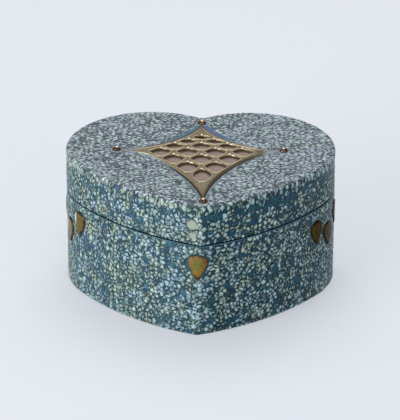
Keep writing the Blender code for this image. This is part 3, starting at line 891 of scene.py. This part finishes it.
def glazed_points(form):
    """1 for points that glazed faces use, and 0 for the rest."""
    touched = np.zeros(form.count)
    for corners, finish in zip(form.faces, form.finishes):
        if finish == GLAZE:
            touched[corners] = 1
    for corners, finish in zip(form.faces, form.finishes):
        if finish != GLAZE:
            touched[corners] = 0
    return touched


class Wash:
    """How calm the glaze is at each point, and the colour it has there."""

    def __init__(self, count):
        self.calm = np.zeros(count)
        self.colour = np.tile(paint("#44708a"), (count, 1))

    def lay(self, amount, code):
        """Lays a colour over what is there."""
        amount = np.clip(amount, 0, 1)
        self.colour += (np.array(paint(code)) - self.colour) * (amount * (amount >= self.calm))[:, None]
        self.calm = np.maximum(self.calm, amount)


def away_from(points, place):
    """How far each point is from a place, seen from above."""
    return np.linalg.norm(points[:, :2] - place, axis=1)


def front_edge(points):
    """1 on the front edge, falling to 0 a few millimetres to either side."""
    return fade(away_from(points, outline[0]), 1.0, 4.5)


def right_side(points):
    """0 on the left half of the box and 1 on the right."""
    return 1 - fade(points[:, 0], -TURN_WIDTH, TURN_WIDTH)


print("outline points on the front edge:", int((front_edge(outline) > 0).sum()))


# %% The glazed body
SEAM_SHADOW = "#101d23"
points = np.vstack(body.places)
mesh = form_mesh(body, "box_body_glazed")
wash = Wash(len(points))
wash.lay(fade(rim_z - points[:, 2], 0.5, 0.9), "#457585")
wash.lay((rim_z - points[:, 2] < 0.1) * 1.0, SEAM_SHADOW)
for point, course, height, lean in places.values():
    across = (points[:, :2] - point) @ course
    proud = (points[:, :2] - point) @ np.array([course[1], -course[0]])
    up = points[:, 2] - height
    turned = np.column_stack([across * math.cos(lean) + up * math.sin(lean),
                              up * math.cos(lean) - across * math.sin(lean)])
    near = (abs(across) < 9) & (abs(up) < 11) & (abs(proud) < 8)  # only these are measured
    gap = distance_to(turned[near], petal(1.0))
    gap[inside(turned[near], petal(1.0))] = 0
    amount = np.zeros(len(points))
    amount[near] = fade(gap, 0.6, 1.1)
    # painted shade: a dark ring round each petal
    wash.lay(amount, "#2a4248")
flow = 0.45 * front_edge(points) - 0.3 * right_side(points)
write(mesh, glazed=glazed_points(body), level=0 * flow, flow=flow, pull=0 * points)
write(mesh, calm=wash.calm, wash=wash.colour)
glazed_body = grow(new_piece("box_body_glazed", mesh), relief)

# %% The washes on the lid
RUNS = (  # each one's x, height on the lid and radius in mm, and its colour
    (-3.3, 12.4, 3.1, "#b4bba0"),
    (-5.0, 14.6, 1.3, "#7d6142"),
    (-3.0, 5.6, 2.3, "#b6b79c"),
)
points = np.vstack(lid.places)
mesh = form_mesh(lid, "lid_glazed")
wash = Wash(len(points))
edge = distance_to(points[:, :2], window(GAP))
on_top = points[:, 2] > top_z - 1.0
behind = fade(CROSS_Y + 4.0 - points[:, 1], 0.0, 4.0)
left = fade(points[:, 0], -1.0, 1.0)
near_cusp = fade(abs(points[:, 0]), 12.0, 34.0)
# the wiped line behind the window is bluest right of the middle, and narrows towards the side cusps
for side, code, width in ((left, "#4c6e80", 1.9), (1 - left, "#47708a", 2.6),
                          (fade(abs(points[:, 0] - 8.0), 6.0, 8.0), "#4b6288", 2.6)):
    wash.lay(fade(edge / (0.2 + width * near_cusp), 0.75, 1.25) * behind * near_cusp * side * on_top, code)
wash.lay(0.5 * fade(edge, 0.8, 2.8) * (1 - behind) * on_top, "#8496ac")
# the thin pale lip along the front of the window, partly a painted highlight
wash.lay(fade(edge, 0.3, 0.7) * (1 - behind) * on_top, "#8f9c98")
for place in STUDS.values():
    wash.lay(fade(away_from(points, place), 3.3, 4.2), "#a3b3b4")
on_front = fade(points[:, 1], -40.0, -30.0) * (1 - on_top)
for across, up, reach, code in RUNS:
    gap = np.hypot(points[:, 0] - across, points[:, 2] - lid_z - up)
    wash.lay(0.85 * fade(gap, reach - 0.5, reach + 0.4) * on_front, code)
# a painted shadow along the lid's foot at the seam, broader on the right
broad = fade(points[:, 0], 62.0, 25.0)
wash.lay(fade(points[:, 2] - lid_z, 0.15 + 0.3 * broad, 0.35 + 0.4 * broad), SEAM_SHADOW)
print("points on the lid without islands:", int((wash.calm > 0.5).sum()), "of", len(points))

# %% The glazed lid
PULLED = 5.5  # mm below the top over which the islands are pulled longer
THICK_AT = 3.4  # mm below the top, where the glaze is thickest
THIN_AT = 8.0  # mm below the top, where it is thinnest
below = top_z - points[:, 2]
on_wall = 1 - fade(below, 0.4, 2.4)
flow = 0.7 * fade(abs(below - THICK_AT), 1.2, 2.6) * (1 - 0.4 * right_side(points))
flow -= fade(abs(below - THIN_AT), 1.0, 3.4) * (0.3 + 0.6 * right_side(points))
flow -= (0.45 * right_side(points) - 0.05) * on_wall
flow += 0.35 * (1 - on_wall)
flow += (0.7 - flow) * front_edge(points) * on_wall
run = 0.42 * np.clip(top_z - 1.0 - points[:, 2], 0, PULLED)
pull = np.column_stack([0 * run, 0 * run, run * MM])
write(mesh, glazed=glazed_points(lid), level=1 - on_wall, flow=flow, pull=pull)
write(mesh, calm=wash.calm, wash=wash.colour)
glazed_lid = grow(new_piece("lid_glazed", mesh), relief)

# %% [markdown]
# ## The lattice
# The brass lattice is one cast plate with sixteen arched openings, set a little below the glaze.
# A thin raised line runs round each opening, with a small bead at its rear that is painted near white as a
# painted highlight, and another line runs just inside the plate's edge. On the left-hand front side, glaze
# has spilt over the plate, and the line there lies further in. The plate is a flat region with holes. The
# lines follow paths, so Geometry Nodes sweep them.

# %% The openings
BAR = 2.0  # mm, the width of a bar between two openings
CHAMFER = 0.14  # mm, the bright slope round each opening
TURNS = (1.5, 5.2, 1.5, 2.6)  # mm, the radii of an opening's right, back, left and front corners
FRONT_TURNS = (9.0, 3.0, 9.0, 2.6)  # mm, the same for the long opening at the front


def opening(corners, inset, turns):
    """A four-sided cell drawn in by an inset, each corner rounded by its own radius."""
    corners = [np.array(c) for c in corners]
    sides = [np.roll(corners, -1, axis=0)[k] - corners[k] for k in range(4)]
    sides = [side / np.linalg.norm(side) for side in sides]
    ring = []
    for k, corner in enumerate(corners):
        before, after = sides[k - 1], sides[k]
        turn = math.atan2(before[0] * after[1] - before[1] * after[0], before @ after)
        inward = np.array([-before[1] - after[1], before[0] + after[0]])
        inward /= np.linalg.norm(inward)
        radius = turns[k]
        centre = corner + inward * (inset + radius) / math.cos(turn / 2)
        start = math.atan2(-before[0], before[1])
        ring.extend(centre + radius * around(np.linspace(start, start + turn, 5 + round(3 * radius))))
    return np.array(ring)


def openings(grown):
    """The outlines of all the openings, grown outwards by a distance."""
    cells = []
    step = 1 / CELLS
    for row in range(CELLS):
        for column in range(CELLS):
            across, back = (column - row) * step, 1 - (row + column + 1) * step
            corners = [on_grid(across + step, back), on_grid(across, back + step),
                       on_grid(across - step, back), on_grid(across, back - step)]
            turns = FRONT_TURNS if row == column == CELLS - 1 else TURNS
            cells.append(opening(corners, BAR / 2 - grown, [turn + grown for turn in turns]))
    return cells


print(len(openings(0.0)), "openings, the front one", openings(0.0)[-1].round(1)[::8].tolist())

# %% The plate
BRASS = 0  # the plate has one finish
PLATE_GAP = 0.05  # mm that its outline is inside the window's
SHOULDER = 0.9  # mm, how far its rounded edge drops
plate = Form()
shoulder = [(window(-PLATE_GAP - 1.0 * (1 - math.cos(a))), lattice_top_z - SHOULDER + SHOULDER * math.sin(a))
            for a in np.radians([0, 25, 50, 70, 90])]
edge_ring = window(-PLATE_GAP)
plate.wall([(edge_ring, lattice_bottom_z)] + shoulder, BRASS)
low_rings, high_rings = openings(0.0), openings(CHAMFER)
for low, high in zip(low_rings, high_rings):
    profile = [(low, lattice_bottom_z), (low, lattice_top_z - CHAMFER), (high, lattice_top_z)]
    plate.wall([(ring[::-1], z) for ring, z in profile], BRASS)
plate.flat(shoulder[-1][0], high_rings, lattice_top_z, 0.8, BRASS)
plate.flat(edge_ring, low_rings, lattice_bottom_z, None, BRASS, upward=False)
print(f"plate: {plate.count} points, {len(plate.faces)} faces")

# %% The paths of its raised lines
SPILL = 4.2  # mm that the glaze has spilt over the plate at the most
SPILL_START = 12.0  # mm to the left of the middle, where the spill starts
SPILL_LENGTH = 36.0  # mm, how much further left it ends
EDGE_LINE = 1.8  # mm from the plate's edge to its raised line
EDGE_LINE_RIGHT = 2.7  # and on the right-hand front side
CELL_LINE = 0.36  # mm from an opening to its raised line
FAR_IN = -9.0  # mm, for a point that the glaze can't reach


def right_front(points):
    """1 along the window's right-hand front side, falling to 0 round its other sides."""
    return fade(-points[:, 0], -8.0, -1.0) * fade(points[:, 1], CROSS_Y - 9.0, CROSS_Y - 1.0)


def spilt(points):
    """How far in mm the glaze has spilt over the plate's left-hand front side, and how far out points lie."""
    share = (CROSS_Y + WINDOW_BACK - points[:, 1]) / (WINDOW_BACK + WINDOW_FRONT)
    across = LEAN * np.clip(share, 0, None) ** 1.5 - points[:, 0]
    reach = WINDOW_FRONT * (1 - np.clip(across / WINDOW_LEFT, 0, 1) ** (2 / 3)) ** 1.5
    spill = SPILL * np.sin(math.pi * np.clip((across - SPILL_START) / SPILL_LENGTH, 0, 1)) ** 2
    return spill, np.where(across > 8.0, CROSS_Y - points[:, 1] - reach + spill, FAR_IN)


inner_line = window(-EDGE_LINE)
inner_line += (window(-EDGE_LINE_RIGHT) - inner_line) * right_front(inner_line)[:, None]
inner_line[:, 1] += np.clip(spilt(inner_line)[0] - 1.5, 0, None) * (inner_line[:, 1] < CROSS_Y)
cell_lines = openings(CELL_LINE)
paths = [(inner_line, lattice_top_z - 0.05)] + [(ring, lattice_top_z - 0.06) for ring in cell_lines]
print(len(paths), "raised lines")

# %% The brass
# Cast brass, gilded thinly: the plate is dull, with a mottling of 4 mm and pits of 1 mm. The raised lines are
# painted pale, partly rubbed gilt and partly a painted highlight, and their beads are painted near white as a
# painted highlight.
# A dark brown is painted along the plate's edge as painted shade, widest outside the raised line at the
# front, and on the raised lines round their beads; the right-hand tail is dark brown too. The tips of both
# side tails are a pale grey.
# Where glaze has spilt over the plate, it is two-toned like the islands, in patches of 2 mm.
brass, tree, shader = new_finish("cast_gilt_brass", Metallic=1.0, Roughness=0.34)
place = add(tree, "ShaderNodeTexCoord", out="Object")
raised, patina, bead, spill = (add(tree, "ShaderNodeAttribute", attribute_name=name, out="Fac")
                               for name in ("raised", "patina", "bead", "spill"))
mottle = add(tree, "ShaderNodeTexNoise", {"Vector": place, "Scale": 260.0, "Detail": 4.0})
colour = add(tree, "ShaderNodeValToRGB", {0: mottle}, ((0.3, "#6c634c"), (0.5, "#867b61"), (0.7, "#9b9077")))
sides = add(tree, "ShaderNodeSeparateXYZ", {0: place})
from_middle = add(tree, "ShaderNodeMath", {0: sides}, operation="ABSOLUTE")
pale = add(tree, "ShaderNodeMapRange", {0: from_middle, 1: 0.036, 2: 0.040})
# painted highlights: the raised lines pale and the beads near white; the dark brown is mostly painted shade
for amount, code in ((raised, "#d6caa9"), (bead, "#fff6e2"), (patina, "#4a412c"), (pale, "#8f9391")):
    colour = add(tree, "ShaderNodeMix", {0: amount, 6: colour, 7: paint(code)}, **RGBA)
glassy = add(tree, "ShaderNodeTexNoise", {"Vector": place, "Scale": 420.0, "Detail": 2.0})
glassy = add(tree, "ShaderNodeValToRGB", {0: glassy}, ((0.42, "#5c686f"), (0.56, "#a5b1b5")))
colour = add(tree, "ShaderNodeMix", {0: spill, 6: colour, 7: glassy}, **RGBA)
dull = add(tree, "ShaderNodeMapRange", {0: mottle, 1: 0.3, 2: 0.7, 3: 0.44, 4: 0.28})
tree.links.new(dull, shader.inputs["Roughness"])
pits = add(tree, "ShaderNodeTexNoise", {"Vector": place, "Scale": 900.0, "Detail": 3.0})
cover(brass, shader, colour, pits, 0.4, 0.08)

# %% The lattice's tree
lines, start, end = new_tree("Lattice lines", Line=0.24 * MM, Bead=0.3 * MM)
geometry = start["Geometry"]
geometry = add(lines, "GeometryNodeMergeByDistance", {"Geometry": geometry, "Distance": DOUBLES})
beside = add(lines, "GeometryNodeInputMeshEdgeNeighbors")
loose = add(lines, "FunctionNodeCompare", {2: beside, 3: 0}, data_type="INT", operation="EQUAL")
path = add(lines, "GeometryNodeMeshToCurve", {"Mesh": geometry, "Selection": loose})
wire = add(lines, "GeometryNodeCurvePrimitiveCircle", {"Resolution": 8, "Radius": start["Line"]})
swept = add(lines, "GeometryNodeCurveToMesh", {"Curve": path, "Profile Curve": wire})
bead = add(lines, "GeometryNodeInputNamedAttribute", {"Name": "bead"}, data_type="FLOAT")
bead = add(lines, "ShaderNodeMath", {0: bead, 1: start["Bead"]}, operation="MULTIPLY")
away = add(lines, "GeometryNodeInputNormal")
away = add(lines, "ShaderNodeVectorMath", {0: away, "Scale": bead}, operation="SCALE")
swept = add(lines, "GeometryNodeSetPosition", {"Geometry": swept, "Offset": away})
swept = add(lines, "GeometryNodeStoreNamedAttribute", {"Geometry": swept, "Name": "raised", "Value": 1.0},
            data_type="FLOAT", domain="POINT")
solid = add(lines, "GeometryNodeDeleteGeometry", {"Geometry": geometry, "Selection": loose}, domain="EDGE")
joined = add(lines, "GeometryNodeJoinGeometry", {0: [solid, swept]})
finish_tree(lines, end, joined, brass)

# %% The lattice, with its painted shade
HALO = (4.2, 2.4)  # mm across and back that the painted shade reaches round a bead
mesh = form_mesh(plate, "lattice_cast", paths)
points = np.vstack(plate.places)
on_path = np.arange(len(points)) >= len(points) - sum(len(ring) for ring, _ in paths)
edge = distance_to(points[:, :2], edge_ring)
# A dark brown is painted along the plate's front edge, widest on the right-hand front side, and on its
# outermost rim, as painted shade; the right-hand tail is dark brown too.
before = fade(points[:, 1], CROSS_Y - 3.0, CROSS_Y + 1.0)
strong = right_front(points)
tail = 0.6 * (1 - fade(points[:, 0], 31.0, 36.0))
patina = np.maximum(fade(edge - 0.9 * strong, 1.3, 1.8) * before * (0.7 + 0.3 * strong), tail)
patina = np.maximum(patina, 0.85 * fade(edge, 0.4, 0.9))
bead = np.zeros(len(points))
for ring in cell_lines:
    rear = ring[np.argmax(ring[:, 1])]
    near = np.linalg.norm((points[:, :2] - rear) / HALO, axis=1)
    # painted shade on the raised line round its bead; the bead itself is marked for a painted highlight
    patina = np.maximum(patina, 0.6 * fade(near, 0.55, 1.0) * on_path)
    bead = np.maximum(bead, fade(away_from(points, rear), 0.25, 0.85))
bead[~on_path] = 0
write(mesh, patina=patina * (1 - bead), bead=bead, spill=1 - fade(spilt(points)[1], -0.2, 0.3))
brass_lattice = grow(new_piece("lattice_cast", mesh), lines)

# %% [markdown]
# ## The studs
# Each stud is a small beaten copper dome, sunk in a dark collar where the copper stained the glaze.
# One dome and one collar are made in a tree, put on the four places, and then roughened,
# so that no two studs are alike. Their crowns are painted bright, a painted highlight.

# %% Copper and its stain
# Beaten copper, bronzed brown in a dark and light mottling of 2 mm, and painted bright at its crown as a
# painted highlight.
# The glaze round it took a dull black-brown stain, in specks of 1.4 mm.
CROWN_HIGHLIGHT = (top_z + 1.6) * MM, (top_z + 2.2) * MM  # the heights over which a crown turns bright
copper, tree, shader = new_finish("bronzed_copper", Metallic=1.0, Roughness=0.16)
place = add(tree, "ShaderNodeTexCoord", out="Object")
patina = add(tree, "ShaderNodeTexNoise", {"Vector": place, "Scale": 520.0, "Detail": 3.0})
colour = add(tree, "ShaderNodeValToRGB", {0: patina},
             ((0.35, "#33261f"), (0.5, "#5b4437"), (0.65, "#8d735f")))
height = add(tree, "ShaderNodeSeparateXYZ", {0: place}, out=2)
# a painted highlight: each dome turns pale near its top
crown = add(tree, "ShaderNodeMapRange", {0: height, 1: CROWN_HIGHLIGHT[0], 2: CROWN_HIGHLIGHT[1], 4: 0.75})
colour = add(tree, "ShaderNodeMix", {0: crown, 6: colour, 7: paint("#dcc6ac")}, **RGBA)
cover(copper, shader, colour, patina, 0.2, 0.06)

stain, tree, shader = new_finish("copper_stained_glaze", Roughness=0.35, IOR=1.52)
place = add(tree, "ShaderNodeTexCoord", out="Object")
cloud = add(tree, "ShaderNodeTexNoise", {"Vector": place, "Scale": 700.0, "Detail": 2.0})
colour = add(tree, "ShaderNodeValToRGB", {0: cloud}, ((0.35, "#241f1d"), (0.65, "#57463c")))
tree.links.new(colour, shader.inputs["Base Color"])
print("made", stain.name)

# %% The studs' tree
BURIED = 0.4  # mm that a dome reaches below the glaze
studs, start, end = new_tree("Studs", Radius=STUD_RADIUS * MM, Height=2.2 * MM,
                             Collar=0.42 * MM, Beaten=0.12 * MM)
dome = add(studs, "GeometryNodeMeshUVSphere", {"Segments": 40, "Rings": 24, "Radius": 1.0})
radius, tall = start["Radius"], start["Height"]
shape = add(studs, "ShaderNodeCombineXYZ", {0: radius, 1: radius, 2: tall})
dome = add(studs, "GeometryNodeTransform", {"Geometry": dome, "Scale": shape})
spot = add(studs, "ShaderNodeSeparateXYZ", {0: add(studs, "GeometryNodeInputPosition")}, out=None)
seat = add(studs, "ShaderNodeMath", {0: spot[2], 1: -BURIED * MM}, operation="MAXIMUM")
flat = add(studs, "ShaderNodeCombineXYZ", {0: spot[0], 1: spot[1], 2: seat})
dome = add(studs, "GeometryNodeSetPosition", {"Geometry": dome, "Position": flat})
dome = add(studs, "GeometryNodeStoreNamedAttribute", {"Geometry": dome, "Name": "metal", "Value": 1.0},
           data_type="FLOAT", domain="POINT")
wide = add(studs, "ShaderNodeMath", {0: radius, 1: 0.1 * MM}, operation="ADD")
ring = add(studs, "GeometryNodeCurvePrimitiveCircle", {"Resolution": 44, "Radius": wide})
tube = add(studs, "GeometryNodeCurvePrimitiveCircle", {"Resolution": 12, "Radius": start["Collar"]})
collar = add(studs, "GeometryNodeCurveToMesh", {"Curve": ring, "Profile Curve": tube})
stud = add(studs, "GeometryNodeJoinGeometry", {0: [dome, collar]})
spin = add(studs, "FunctionNodeRandomValue", {0: (0.0, 0.0, 0.0), 1: (0.0, 0.0, 6.28), "Seed": 5},
           data_type="FLOAT_VECTOR")
placed = add(studs, "GeometryNodeInstanceOnPoints",
             {"Points": start["Geometry"], "Instance": stud, "Rotation": spin})
placed = add(studs, "GeometryNodeRealizeInstances", {"Geometry": placed})
spot = add(studs, "GeometryNodeInputPosition")
dents = add(studs, "ShaderNodeTexNoise", {"Vector": spot, "Scale": 380.0, "Detail": 1.0})
dents = add(studs, "ShaderNodeMath", {0: dents, 1: 0.75}, operation="SUBTRACT")
dents = add(studs, "ShaderNodeMath", {0: dents, 1: start["Beaten"]}, operation="MULTIPLY")
away = add(studs, "GeometryNodeInputNormal")
away = add(studs, "ShaderNodeVectorMath", {0: away, "Scale": dents}, operation="SCALE")
placed = add(studs, "GeometryNodeSetPosition", {"Geometry": placed, "Offset": away})
metal = add(studs, "GeometryNodeInputNamedAttribute", {"Name": "metal"}, data_type="FLOAT")
finish_tree(studs, end, placed, stain, [(metal, copper)])

# %% The four studs
mesh = bpy.data.meshes.new("studs_beaten")
mesh.from_pydata([(*(place * MM), top_z * MM) for place in STUDS.values()], [], [])
beaten_studs = grow(new_piece("studs_beaten", mesh), studs)

# %% [markdown]
# ## The petals
# Seven shield-shaped pads of clay, broad at the head and small at the tip, were pressed on the wall
# and brushed with an olive gold lustre. Each has a soft rim and a slightly domed middle.
# One flat pad is made from rings of the petal's outline. The tree puts it on seven places in front of
# the wall, then casts each of its points onto the wall and lifts it by its own height, so every petal
# follows the curve under it.

# %% One flat pad
STAND_OFF = 12.0  # mm in front of the wall, from where the points are cast
PAD = ((1.0, -0.5), (1.0, 0.06), (0.975, 0.2), (0.94, 0.33), (0.9, 0.42), (0.85, 0.47), (0.79, 0.48),
       (0.72, 0.44), (0.64, 0.4), (0.52, 0.41), (0.38, 0.44), (0.24, 0.46),
       (0.1, 0.47))  # each ring's share of the petal's size, and its height above the wall in mm

pad = Form()
for (share, low), (inner, high) in zip(PAD, PAD[1:]):
    pad.wall([(petal(share), low), (petal(inner), high)], GLAZE)
pad_size = len(petal(1.0))
pad.cap(pad.count - pad_size, pad_size, True, GLAZE)
flat_pad = np.vstack(pad.places)
shares = np.concatenate([np.repeat([a[0], b[0]], pad_size) for a, b in zip(PAD, PAD[1:])])
mesh = bpy.data.meshes.new("pad_guide")
standing = np.column_stack([flat_pad[:, 0], np.full(len(flat_pad), -STAND_OFF), flat_pad[:, 1]])
mesh.from_pydata((standing * MM).tolist(), [], pad.faces)
write(mesh, lift=flat_pad[:, 2] * MM, on_petal=np.column_stack([flat_pad[:, :2], shares]))
pad_guide = new_piece("pad_guide", mesh)
print(f"pad: {len(flat_pad)} points, up to {flat_pad[:, 2].max()} mm high")

# %% The wall to cast them on
wall = Form()
wall.wall([(heart(0.0, z), z) for z in (20.0, 40.0, rim_z)], GLAZE)
wall_guide = new_piece("wall_guide", form_mesh(wall, "wall_guide"))
print("wall guide:", len(wall.faces), "faces")

# %% The lustre
# A gold lustre fired over an olive glaze: the film has worn thin, so the olive shows through it
# under a clear gloss. It is orange at the right shoulder. Tan at the head and the left is a painted
# highlight, and brown at the tip and round the edge is painted shade; the colours lie in clouds of 3 mm and
# specks of 1 mm. The side petals are painted darker as painted shade, most on the right-hand side of the box,
# and the petals at the left have a painted highlight, a pale streak along their left edges.
# The tan patches at the head and the left are painted highlights, and the brown one at the tip is painted
# shade.
PATCHES = (  # axis, 0 across and 1 up; mm from the middle where it starts and is full; amount; colour
    (1, -0.5, -3.5, 0.8, "#8c7430"),
    (1, -3.9, -6.2, 0.95, "#3f2a10"),
    (0, -1.5, -5.0, 0.7, "#a08a5c"),
    (1, 2.8, 5.2, 0.5, "#8c754c"),
    (0, 2.8, 4.8, 0.8, "#8a5018"),
)
lustre, tree, shader = new_finish("olive_gold_lustre", Metallic=0.1, Roughness=0.22)
spot = add(tree, "ShaderNodeAttribute", attribute_name="on_petal", out="Vector")
axes = add(tree, "ShaderNodeSeparateXYZ", {0: spot}, out=None)
place = add(tree, "ShaderNodeTexCoord", out="Object")
cloud = add(tree, "ShaderNodeTexNoise", {"Vector": place, "Scale": 320.0, "Detail": 4.0})
ragged = add(tree, "ShaderNodeMath", {0: cloud, 1: -0.6, 2: axes[2]}, operation="MULTIPLY_ADD")
# the colour darkens to brown towards the petal's edge, a painted shade round it
colour = add(tree, "ShaderNodeValToRGB", {0: ragged},
             ((0.0, "#757138"), (0.28, "#7b7037"), (0.46, "#856c42"), (0.58, "#5e4829"), (0.7, "#2b2110")))
patch = add(tree, "ShaderNodeMapRange", {0: cloud, 1: 0.36, 2: 0.56})
for axis, low, high, amount, code in PATCHES:
    near = add(tree, "ShaderNodeMapRange", {0: axes[axis], 1: low, 2: high, 4: amount})
    near = add(tree, "ShaderNodeMath", {0: near, 1: patch}, operation="MULTIPLY")
    colour = add(tree, "ShaderNodeMix", {0: near, 6: colour, 7: paint(code)}, **RGBA)
sides = add(tree, "ShaderNodeSeparateXYZ", {0: place})
# painted shade on the side petals: tinted darker at the left and darkest at the right
side_shade = add(tree, "ShaderNodeMapRange", {0: sides, 1: -0.08, 2: 0.08})
side_shade = add(tree, "ShaderNodeValToRGB", {0: side_shade},
           ((0.1, "#cfce80"), (0.3, "#ffffff"), (0.6, "#ffffff"), (0.85, "#8c7c48")))
mottle = add(tree, "ShaderNodeTexNoise", {"Vector": place, "Scale": 760.0, "Detail": 3.0})
mottle = add(tree, "ShaderNodeValToRGB", {0: mottle}, ((0.38, "#d9d2c4"), (0.62, "#ffffff")))
for part in (side_shade, mottle):
    colour = add(tree, "ShaderNodeMix", {0: 1.0, 6: colour, 7: part}, **TIMES)
# a painted highlight: a pale streak along the left edge of the petals at the left
bright = add(tree, "ShaderNodeMapRange", {0: axes[0], 1: -2.9, 2: -3.7})
left = add(tree, "ShaderNodeMapRange", {0: sides, 1: -0.05, 2: -0.06})
bright = add(tree, "ShaderNodeMath", {0: bright, 1: left}, operation="MULTIPLY")
colour = add(tree, "ShaderNodeMix", {0: bright, 6: colour, 7: paint("#cfc4b0")}, **RGBA)
gloss = add(tree, "ShaderNodeMapRange", {0: sides, 1: -0.07, 2: 0.07, 3: 0.2, 4: 0.02})
tree.links.new(gloss, shader.inputs["Specular IOR Level"])
cover(lustre, shader, colour, cloud, 0.6, 0.3)

# %% The petals' tree
petals, start, end = new_tree("Petals", guides=("Pad", "Wall"), Reach=40.0 * MM)
pad_in, wall_in = (add(petals, "GeometryNodeObjectInfo", {"Object": start[name]}, out="Geometry")
                   for name in ("Pad", "Wall"))
facing, inward = (add(petals, "GeometryNodeInputNamedAttribute", {"Name": name}, data_type="FLOAT_VECTOR")
                  for name in ("facing", "inward"))
lift = add(petals, "GeometryNodeInputNamedAttribute", {"Name": "lift"}, data_type="FLOAT")
laid = add(petals, "GeometryNodeInstanceOnPoints",
           {"Points": start["Geometry"], "Instance": pad_in, "Rotation": facing})
laid = add(petals, "GeometryNodeRealizeInstances", {"Geometry": laid})
normal = add(petals, "GeometryNodeInputNormal")
ray = {"Target Geometry": wall_in, "Attribute": normal, "Ray Direction": inward, "Ray Length": start["Reach"]}
cast = add(petals, "GeometryNodeRaycast", ray, data_type="FLOAT_VECTOR", out=None)
raised = add(petals, "ShaderNodeVectorMath", {0: cast["Attribute"], "Scale": lift}, operation="SCALE")
landed = add(petals, "ShaderNodeVectorMath", {0: cast["Hit Position"], 1: raised}, operation="ADD")
laid = add(petals, "GeometryNodeSetPosition", {"Geometry": laid, "Position": landed})
laid = add(petals, "GeometryNodeMergeByDistance", {"Geometry": laid, "Distance": DOUBLES})
finish_tree(petals, end, laid, lustre)

# %% The seven petals
mesh = bpy.data.meshes.new("petals_lustred")
mesh.from_pydata([(*(point * MM), height * MM) for point, _, height, _ in places.values()], [], [])
turns, inwards = [], []
for _, course, _, lean in places.values():
    turns.append((0.0, -lean, math.atan2(course[1], course[0])))
    inwards.append((-course[1], course[0], 0.0))
write(mesh, facing=np.array(turns), inward=np.array(inwards))
lustred_petals = grow(new_piece("petals_lustred", mesh), petals, Pad=pad_guide, Wall=wall_guide)
for guide in (pad_guide, wall_guide):
    bpy.data.objects.remove(guide)

# %% [markdown]
# ## Light, floor and camera
# The box stands on a pale floor. A broad panel lights it from the left and a large soft box from
# above and behind, and two small soft boxes in front of it put the highlights on the glaze.

# %% The floor
floor_finish, tree, shader = new_finish("pale_studio_floor", Roughness=0.9)
shader.inputs["Base Color"].default_value = paint("#acaeb2")
shader.inputs["Emission Color"].default_value = paint("#e6eaf2")
shader.inputs["Emission Strength"].default_value = 0.42
mesh = bpy.data.meshes.new("studio_floor")
mesh.from_pydata([(-6, -6, 0), (6, -6, 0), (6, 9, 0), (-6, 9, 0)], [], [(0, 1, 2, 3)])
mesh.materials.append(floor_finish)
studio_floor = new_piece("studio_floor", mesh)
studio_floor.location.z = cad_low.z
studio_floor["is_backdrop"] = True
print("floor at", studio_floor.location.z, "m")

# %% The room's light
world = bpy.data.worlds.new("studio")
bpy.context.scene.world = world
world.use_nodes = True
world.node_tree.nodes["Background"].inputs["Color"].default_value = (0.93, 0.96, 1.0, 1.0)
world.node_tree.nodes["Background"].inputs["Strength"].default_value = 0.5


def aimed(data, height, azimuth, elevation, distance):
    """Aims a light or a camera at a height over the middle; azimuth 0 is in front and 90 to the right."""
    thing = new_piece(data.name, data)
    a, e = math.radians(azimuth), math.radians(elevation)
    back = Vector((math.sin(a) * math.cos(e), -math.cos(a) * math.cos(e), math.sin(e)))
    thing.location = Vector((0.0, 0.0, height)) + back * distance
    thing.rotation_euler = back.to_track_quat("Z", "Y").to_euler()
    return thing


print("the room's light is", world.node_tree.nodes["Background"].inputs["Strength"].default_value)


# %% The lights
for name, azimuth, elevation, distance, size, power in (
    ("side_panel", -50, 16, 1.5, (1.1, 0.5), 14.5),
    ("overhead_softbox", 178, 62, 1.5, (1.1, 1.1), 10.0),
    ("front_softbox", 6, 61, 1.6, (0.2, 0.2), 2.0),
    ("fill_softbox", 32, 26, 1.6, (0.16, 0.16), 1.7),
):
    data = bpy.data.lights.new(name, "AREA")
    data.shape = "RECTANGLE"
    data.size, data.size_y = size
    data.energy = power
    aimed(data, 0.04, azimuth, elevation, distance)
    print(name, "aimed from", azimuth, "degrees")

# %% The camera
data = bpy.data.cameras.new("camera")
data.lens = 272.2
data.sensor_width = 36.0
camera = aimed(data, height=0.04905, azimuth=1.3, elevation=25.758, distance=1.8853)
bpy.context.scene.camera = camera
bpy.context.scene.view_settings.view_transform = "Standard"
print("camera at", [round(v, 3) for v in camera.location])

# %% The pieces ride on the model
stud_nodes = [f"stud_{name}" for name in STUDS]
petal_nodes = [f"petal_{name}" for name in PETALS]
for piece, slot, nodes in (
    (glazed_body, "crawled_glaze", ["box_body"]),
    (glazed_lid, "crawled_glaze", ["lid"]),
    (brass_lattice, "gilt_brass", ["lattice_grille"]),
    (beaten_studs, "bronzed_copper", stud_nodes),
    (lustred_petals, "gold_lustre", petal_nodes),
):
    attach(piece, "root")
    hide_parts(*nodes)
low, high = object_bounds()
print("visual box, mm:", [round(v / MM, 2) for v in high - low])
